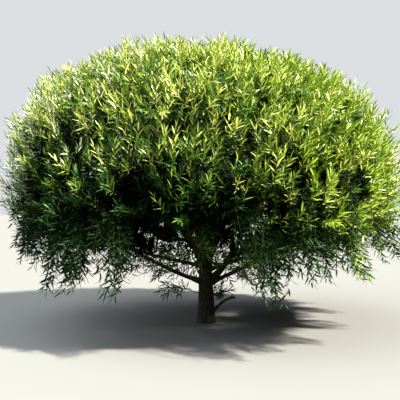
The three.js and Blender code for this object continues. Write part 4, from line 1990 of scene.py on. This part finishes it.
@dataclass(frozen=True)
class LowShoot:
    """A sparse leafy shoot low on the trunk, with a few side twigs."""

    name: str
    first_key: int
    stem: SideStem
    twigs: tuple[SideTwig, ...]
    twig_share: float = 0.35
    stem_rod: Rod = Rod(root=0.006, tip=0.0014, sides=8, steps=14)
    twig_rod: Rod = Rod(root=0.003, tip=0.0014, sides=6, steps=8)
    leaves: LeafRule = LeafRule(per_shoot=22, first=0.35, lean_at_foot=62, lean_at_tip=30, sag=0.2)
    twig_leaves: LeafRule = LeafRule(per_shoot=12, lean_at_foot=60, lean_at_tip=30, sag=0.2)
    leaf_greens: int = 2
    lowest_leaf: float = 0.02

    def side_twigs(self, stem: Curves) -> Curves:
        """The shoot's side twigs.

        Args:
            stem: The shoot's stem.

        Returns:
            One curve for each twig.
        """
        along = np.array([twig.along for twig in self.twigs])
        way = np.array([heading(self.stem.bearing + twig.turn, twig.rise) for twig in self.twigs])
        start = stem.points(along)[0]
        end = start + way * self.twig_share * self.stem.length
        return Curves.between(start, stem.tangents(along)[0], end, way)

    def clear(self, tips: Floats) -> NDArray[np.bool_]:
        """Whether each leaf tip is clear of the ground."""
        return tips[..., 2] > self.lowest_leaf

    def build(
        self, skeleton: Skeleton, bark: bpy.types.Material, greens: tuple[bpy.types.Material, ...]
    ) -> bpy.types.Object:
        """Makes the shoot as one piece, its wood in the slot of the painted-shade green, which its leaves
        don't use.

        Args:
            skeleton: The trunk and boughs.
            bark: The finish of its wood.
            greens: The greens of the leaves, in the order of Green.

        Returns:
            The piece.
        """
        stem = self.stem.curve(skeleton)
        side = self.side_twigs(stem)
        shape = Shape()
        self.stem_rod.add_to(shape, stem)
        self.twig_rod.add_to(shape, side)
        key = KeyBase.LOW_SHOOT + self.first_key
        for rule, curves, first in ((self.leaves, stem, key), (self.twig_leaves, side, key + KEYS_PER_CLUMP)):
            keys = first + np.arange(len(curves.controls))
            corners, owner = rule.grow(curves, np.ones(len(keys)), keys, self.clear)
            # Its leaves take the next two darkest greens, as painted shade low under the crown.
            tone = self.leaf_greens * chance(owner, Draw.LOW_SHOOT_TONE)
            shape.add_leaves(rule.form, corners, Green.SHADED + tone.astype(int))
        return shape.build(f"{self.name}_leafy", [bark, *greens[1:]])


LOW_SHOOTS = (
    LowShoot(
        name="shoot_left",
        first_key=200,
        stem=SideStem(bearing=186, height=0.29, rise=28, length=0.5, droop=0.12),
        twigs=(
            SideTwig(0.4, -50, 30),
            SideTwig(0.5, 40, -10),
            SideTwig(0.55, 48, 12),
            SideTwig(0.67, -48, 0),
            SideTwig(0.76, 20, 24),
            SideTwig(0.8, 30, -30),
            SideTwig(0.9, -30, -20),
        ),
    ),
    LowShoot(
        name="shoot_right",
        first_key=220,
        stem=SideStem(bearing=338, height=0.245, rise=30, length=0.215, droop=0.015),
        twigs=(
            SideTwig(0.4, -50, 55),
            SideTwig(0.5, 20, 80),
            SideTwig(0.55, 48, 12),
            SideTwig(0.67, -48, 0),
            SideTwig(0.75, 10, 62),
            SideTwig(0.85, 40, 70),
            SideTwig(0.95, 0, 20),
        ),
        twig_share=0.6,
    ),
)


@dataclass(frozen=True)
class DeadSpur:
    """The dead spur at the trunk's foot, with the stub of its broken side branch."""

    stem: SideStem = SideStem(bearing=356, height=0.03, rise=45, length=0.482, droop=0.081)
    radius: float = 0.023
    tip_radius: float = 0.013
    taper_power: float = 0.8
    collar_swell: float = 0.4
    collar_share: float = 0.1
    steps: int = 60
    stub_along: float = 0.8
    stub_length: float = 0.075
    stub_radius: float = 0.01
    stub_taper: float = 0.35
    stub_rise: float = 40.0
    stub_steps: int = 12
    sides: int = 20
    relief: Relief = Relief(furrows=5, plate_length=0.06, depth=0.002, knobs=0.006, salt=301)

    def main_limb(self, curve: Curves) -> Limb:
        """The spur without its stub.

        Args:
            curve: The spur's path.

        Returns:
            The limb.
        """
        share = np.linspace(0, 1, self.steps)
        plain = self.radius + (self.tip_radius - self.radius) * share**self.taper_power
        swollen = plain * (1 + self.collar_swell * np.exp(-share / self.collar_share))
        return Limb(
            curve.points(share)[0], curve.tangents(share)[0], all_round(swollen, self.sides), self.relief
        )

    def stub(self, curve: Curves) -> Limb:
        """The stub of the side branch.

        Args:
            curve: The spur's path.

        Returns:
            The limb.
        """
        share = np.linspace(0, 1, self.stub_steps)
        way = heading(self.stem.bearing, self.stub_rise)
        start = curve.points(np.array([self.stub_along]))[0, 0]
        path = start + way * (share * self.stub_length)[:, None]
        radii = all_round(self.stub_radius * (1 - self.stub_taper * share), self.sides)
        return Limb(path, np.tile(way, (self.stub_steps, 1)), radii, self.relief)

    def build(self, skeleton: Skeleton, wood: bpy.types.Material) -> bpy.types.Object:
        """Makes the spur as one piece.

        Args:
            skeleton: The trunk and boughs.
            wood: Its finish.

        Returns:
            The piece.
        """
        shape = Shape()
        curve = self.stem.curve(skeleton)
        self.main_limb(curve).add_to(shape)
        self.stub(curve).add_to(shape)
        return shape.build("low_spur_wood", [wood])


@dataclass(frozen=True)
class Studio:
    """The pale floor, the lights and the camera at the photograph's viewing angle."""

    camera_place: tuple[float, float, float] = (-0.07, -8.0, 1.5)
    camera_pitch: float = -0.58
    lens: float = 62.1
    sensor: float = 36.0
    floor_half: float = 40.0
    floor_colour: Colour = (0.26, 0.26, 0.25)
    floor_bounce: Colour = (0.035, 0.045, 0.025)
    floor_roughness: float = 0.9
    sun_from: tuple[float, float, float] = (0.8, -0.5, 1.25)
    sun_colour: Colour = (1.0, 0.96, 0.84)
    sun_strength: float = 9.6
    sun_angle: float = 4.0
    sky_colour: Colour = (0.88, 0.94, 1.0)
    sky_from: tuple[float, float, float] = (-0.5, -0.2, 0.84)
    sky_start: float = 0.52
    sky_low: float = 0.015
    sky_top: float = 3.4
    backdrop: Colour = (0.72, 0.74, 0.76)

    def floor(self) -> bpy.types.Object:
        """A plain pale floor, which throws little light back up under the crown.

        Returns:
            The floor.
        """
        material, shader = shaded("studio_floor", {"Roughness": self.floor_roughness})
        tree = material.node_tree
        ray, choice = add_node(tree, "LightPath"), add_colour_mix(tree)
        set_sockets(choice, {"A": opaque(self.floor_bounce), "B": opaque(self.floor_colour)})
        link(
            tree,
            (ray.outputs["Is Camera Ray"], choice.inputs["Factor"]),
            (choice.outputs["Result"], shader.inputs["Base Color"]),
        )
        half = self.floor_half
        corners = np.array([[-half, -half, 0], [half, -half, 0], [half, half, 0], [-half, half, 0]], float)
        shape = Shape()
        shape.add(corners, [np.array([[0, 1, 2, 3]])])
        return shape.build("studio_floor", [material])

    def lights(self) -> None:
        """A strong key light from the upper right."""
        light = bpy.data.lights.new("key", "SUN")
        light.energy = self.sun_strength
        light.angle = math.radians(self.sun_angle)
        light.color = self.sun_colour
        key = bpy.data.objects.new("key", light)
        away = np.array(self.sun_from)
        x, y, z = away / np.linalg.norm(away)
        key.rotation_euler = (math.acos(z), 0.0, math.atan2(y, x) + math.pi / 2)
        bpy.context.scene.collection.objects.link(key)

    def air(self) -> None:
        """The fill, brightest high on the left, and the pale backdrop seen in its place."""
        world = bpy.data.worlds.new("studio_air")
        world.use_nodes = True
        tree = world.node_tree
        fill = tree.nodes["Background"]
        set_sockets(fill, {"Color": opaque(self.sky_colour)})
        place, toward = add_node(tree, "TexCoord"), add_node(tree, "VectorMath")
        toward.operation = "DOT_PRODUCT"
        toward.inputs[1].default_value = unit(np.array(self.sky_from))
        rise = add_node(tree, "MapRange", {
            "From Min": self.sky_start, "To Min": self.sky_low, "To Max": self.sky_top
        })
        seen = add_node(tree, "Background", {"Color": opaque(self.backdrop)})
        ray, choice = add_node(tree, "LightPath"), add_node(tree, "MixShader")
        link(
            tree,
            (place.outputs["Generated"], toward.inputs[0]),
            (toward.outputs["Value"], rise.inputs["Value"]),
            (rise.outputs["Result"], fill.inputs["Strength"]),
            (ray.outputs["Is Camera Ray"], choice.inputs["Fac"]),
            (fill.outputs["Background"], choice.inputs[1]),
            (seen.outputs["Background"], choice.inputs[2]),
            (choice.outputs["Shader"], tree.nodes["World Output"].inputs["Surface"]),
        )
        bpy.context.scene.world = world

    def camera(self) -> None:
        """The camera, at eye height in front of the tree."""
        data = bpy.data.cameras.new("camera")
        data.lens = self.lens
        data.sensor_width = self.sensor
        camera = bpy.data.objects.new("camera", data)
        camera.location = self.camera_place
        camera.rotation_euler = (math.radians(90 + self.camera_pitch), 0.0, 0.0)
        bpy.context.scene.collection.objects.link(camera)
        bpy.context.scene.camera = camera


def attach(piece: bpy.types.Object, slot: str, *nodes: str) -> None:
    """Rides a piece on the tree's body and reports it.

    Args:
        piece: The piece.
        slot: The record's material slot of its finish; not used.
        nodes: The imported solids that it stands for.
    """
    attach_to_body(piece, BODY)
    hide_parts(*nodes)
    log.info("%s: %d corners, %d faces", piece.name, len(piece.data.vertices), len(piece.data.polygons))


def build_wood(skeleton: Skeleton, effect: bpy.types.NodeTree) -> None:
    """Builds the bark of the trunk and boughs, and the dead spur.

    Args:
        skeleton: The trunk and boughs.
        effect: The shared bark effect.
    """
    bark, limb_bark = TRUNK_BARK.material(effect), BOUGH_BARK.material(effect)
    shape = Shape()
    skeleton.leader().add_to(shape)
    attach(shape.build("trunk_bark", [bark]), "bark", "trunk", "bough_top")
    for bough in BOUGHS[:-1]:
        shape = Shape()
        skeleton.limb(bough).add_to(shape)
        attach(shape.build(f"{bough.node}_bark", [limb_bark]), "bark", bough.node)
    attach(DeadSpur().build(skeleton, DEAD_WOOD.material(effect)), "dead_wood", "low_spur")


def build_foliage(skeleton: Skeleton, effect: bpy.types.NodeTree) -> None:
    """Builds the low shoots, and the twigs and leaves of each mass.

    Args:
        skeleton: The trunk and boughs.
        effect: The shared bark effect.
    """
    bark = TWIG_BARK.material(effect)
    greens = tuple(LEAF_FINISHES[green].material() for green in Green)
    for shoot in LOW_SHOOTS:
        attach(shoot.build(skeleton, bark, greens), "foliage", shoot.name)
    crown = Crown()
    grower = Grower(crown, skeleton)
    dresser = Dresser(crown, Shading(crown), bark, greens)
    for index, bough in enumerate(BOUGHS):
        growth = grower.grow(index)
        attach(dresser.twigs(bough, growth), "foliage", bough.mass)
        attach(dresser.leaves(bough, growth), "foliage", bough.mass)


def main() -> None:
    """Builds the tree's looks and its studio."""
    logging.basicConfig(level=logging.INFO, format="%(message)s")
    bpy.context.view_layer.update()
    effect, skeleton = bark_effect(), Skeleton()
    build_wood(skeleton, effect)
    build_foliage(skeleton, effect)
    studio = Studio()
    studio.floor()
    studio.lights()
    studio.air()
    studio.camera()
    bpy.context.scene.view_settings.view_transform = "Standard"


if __name__ == "__main__":
    main()
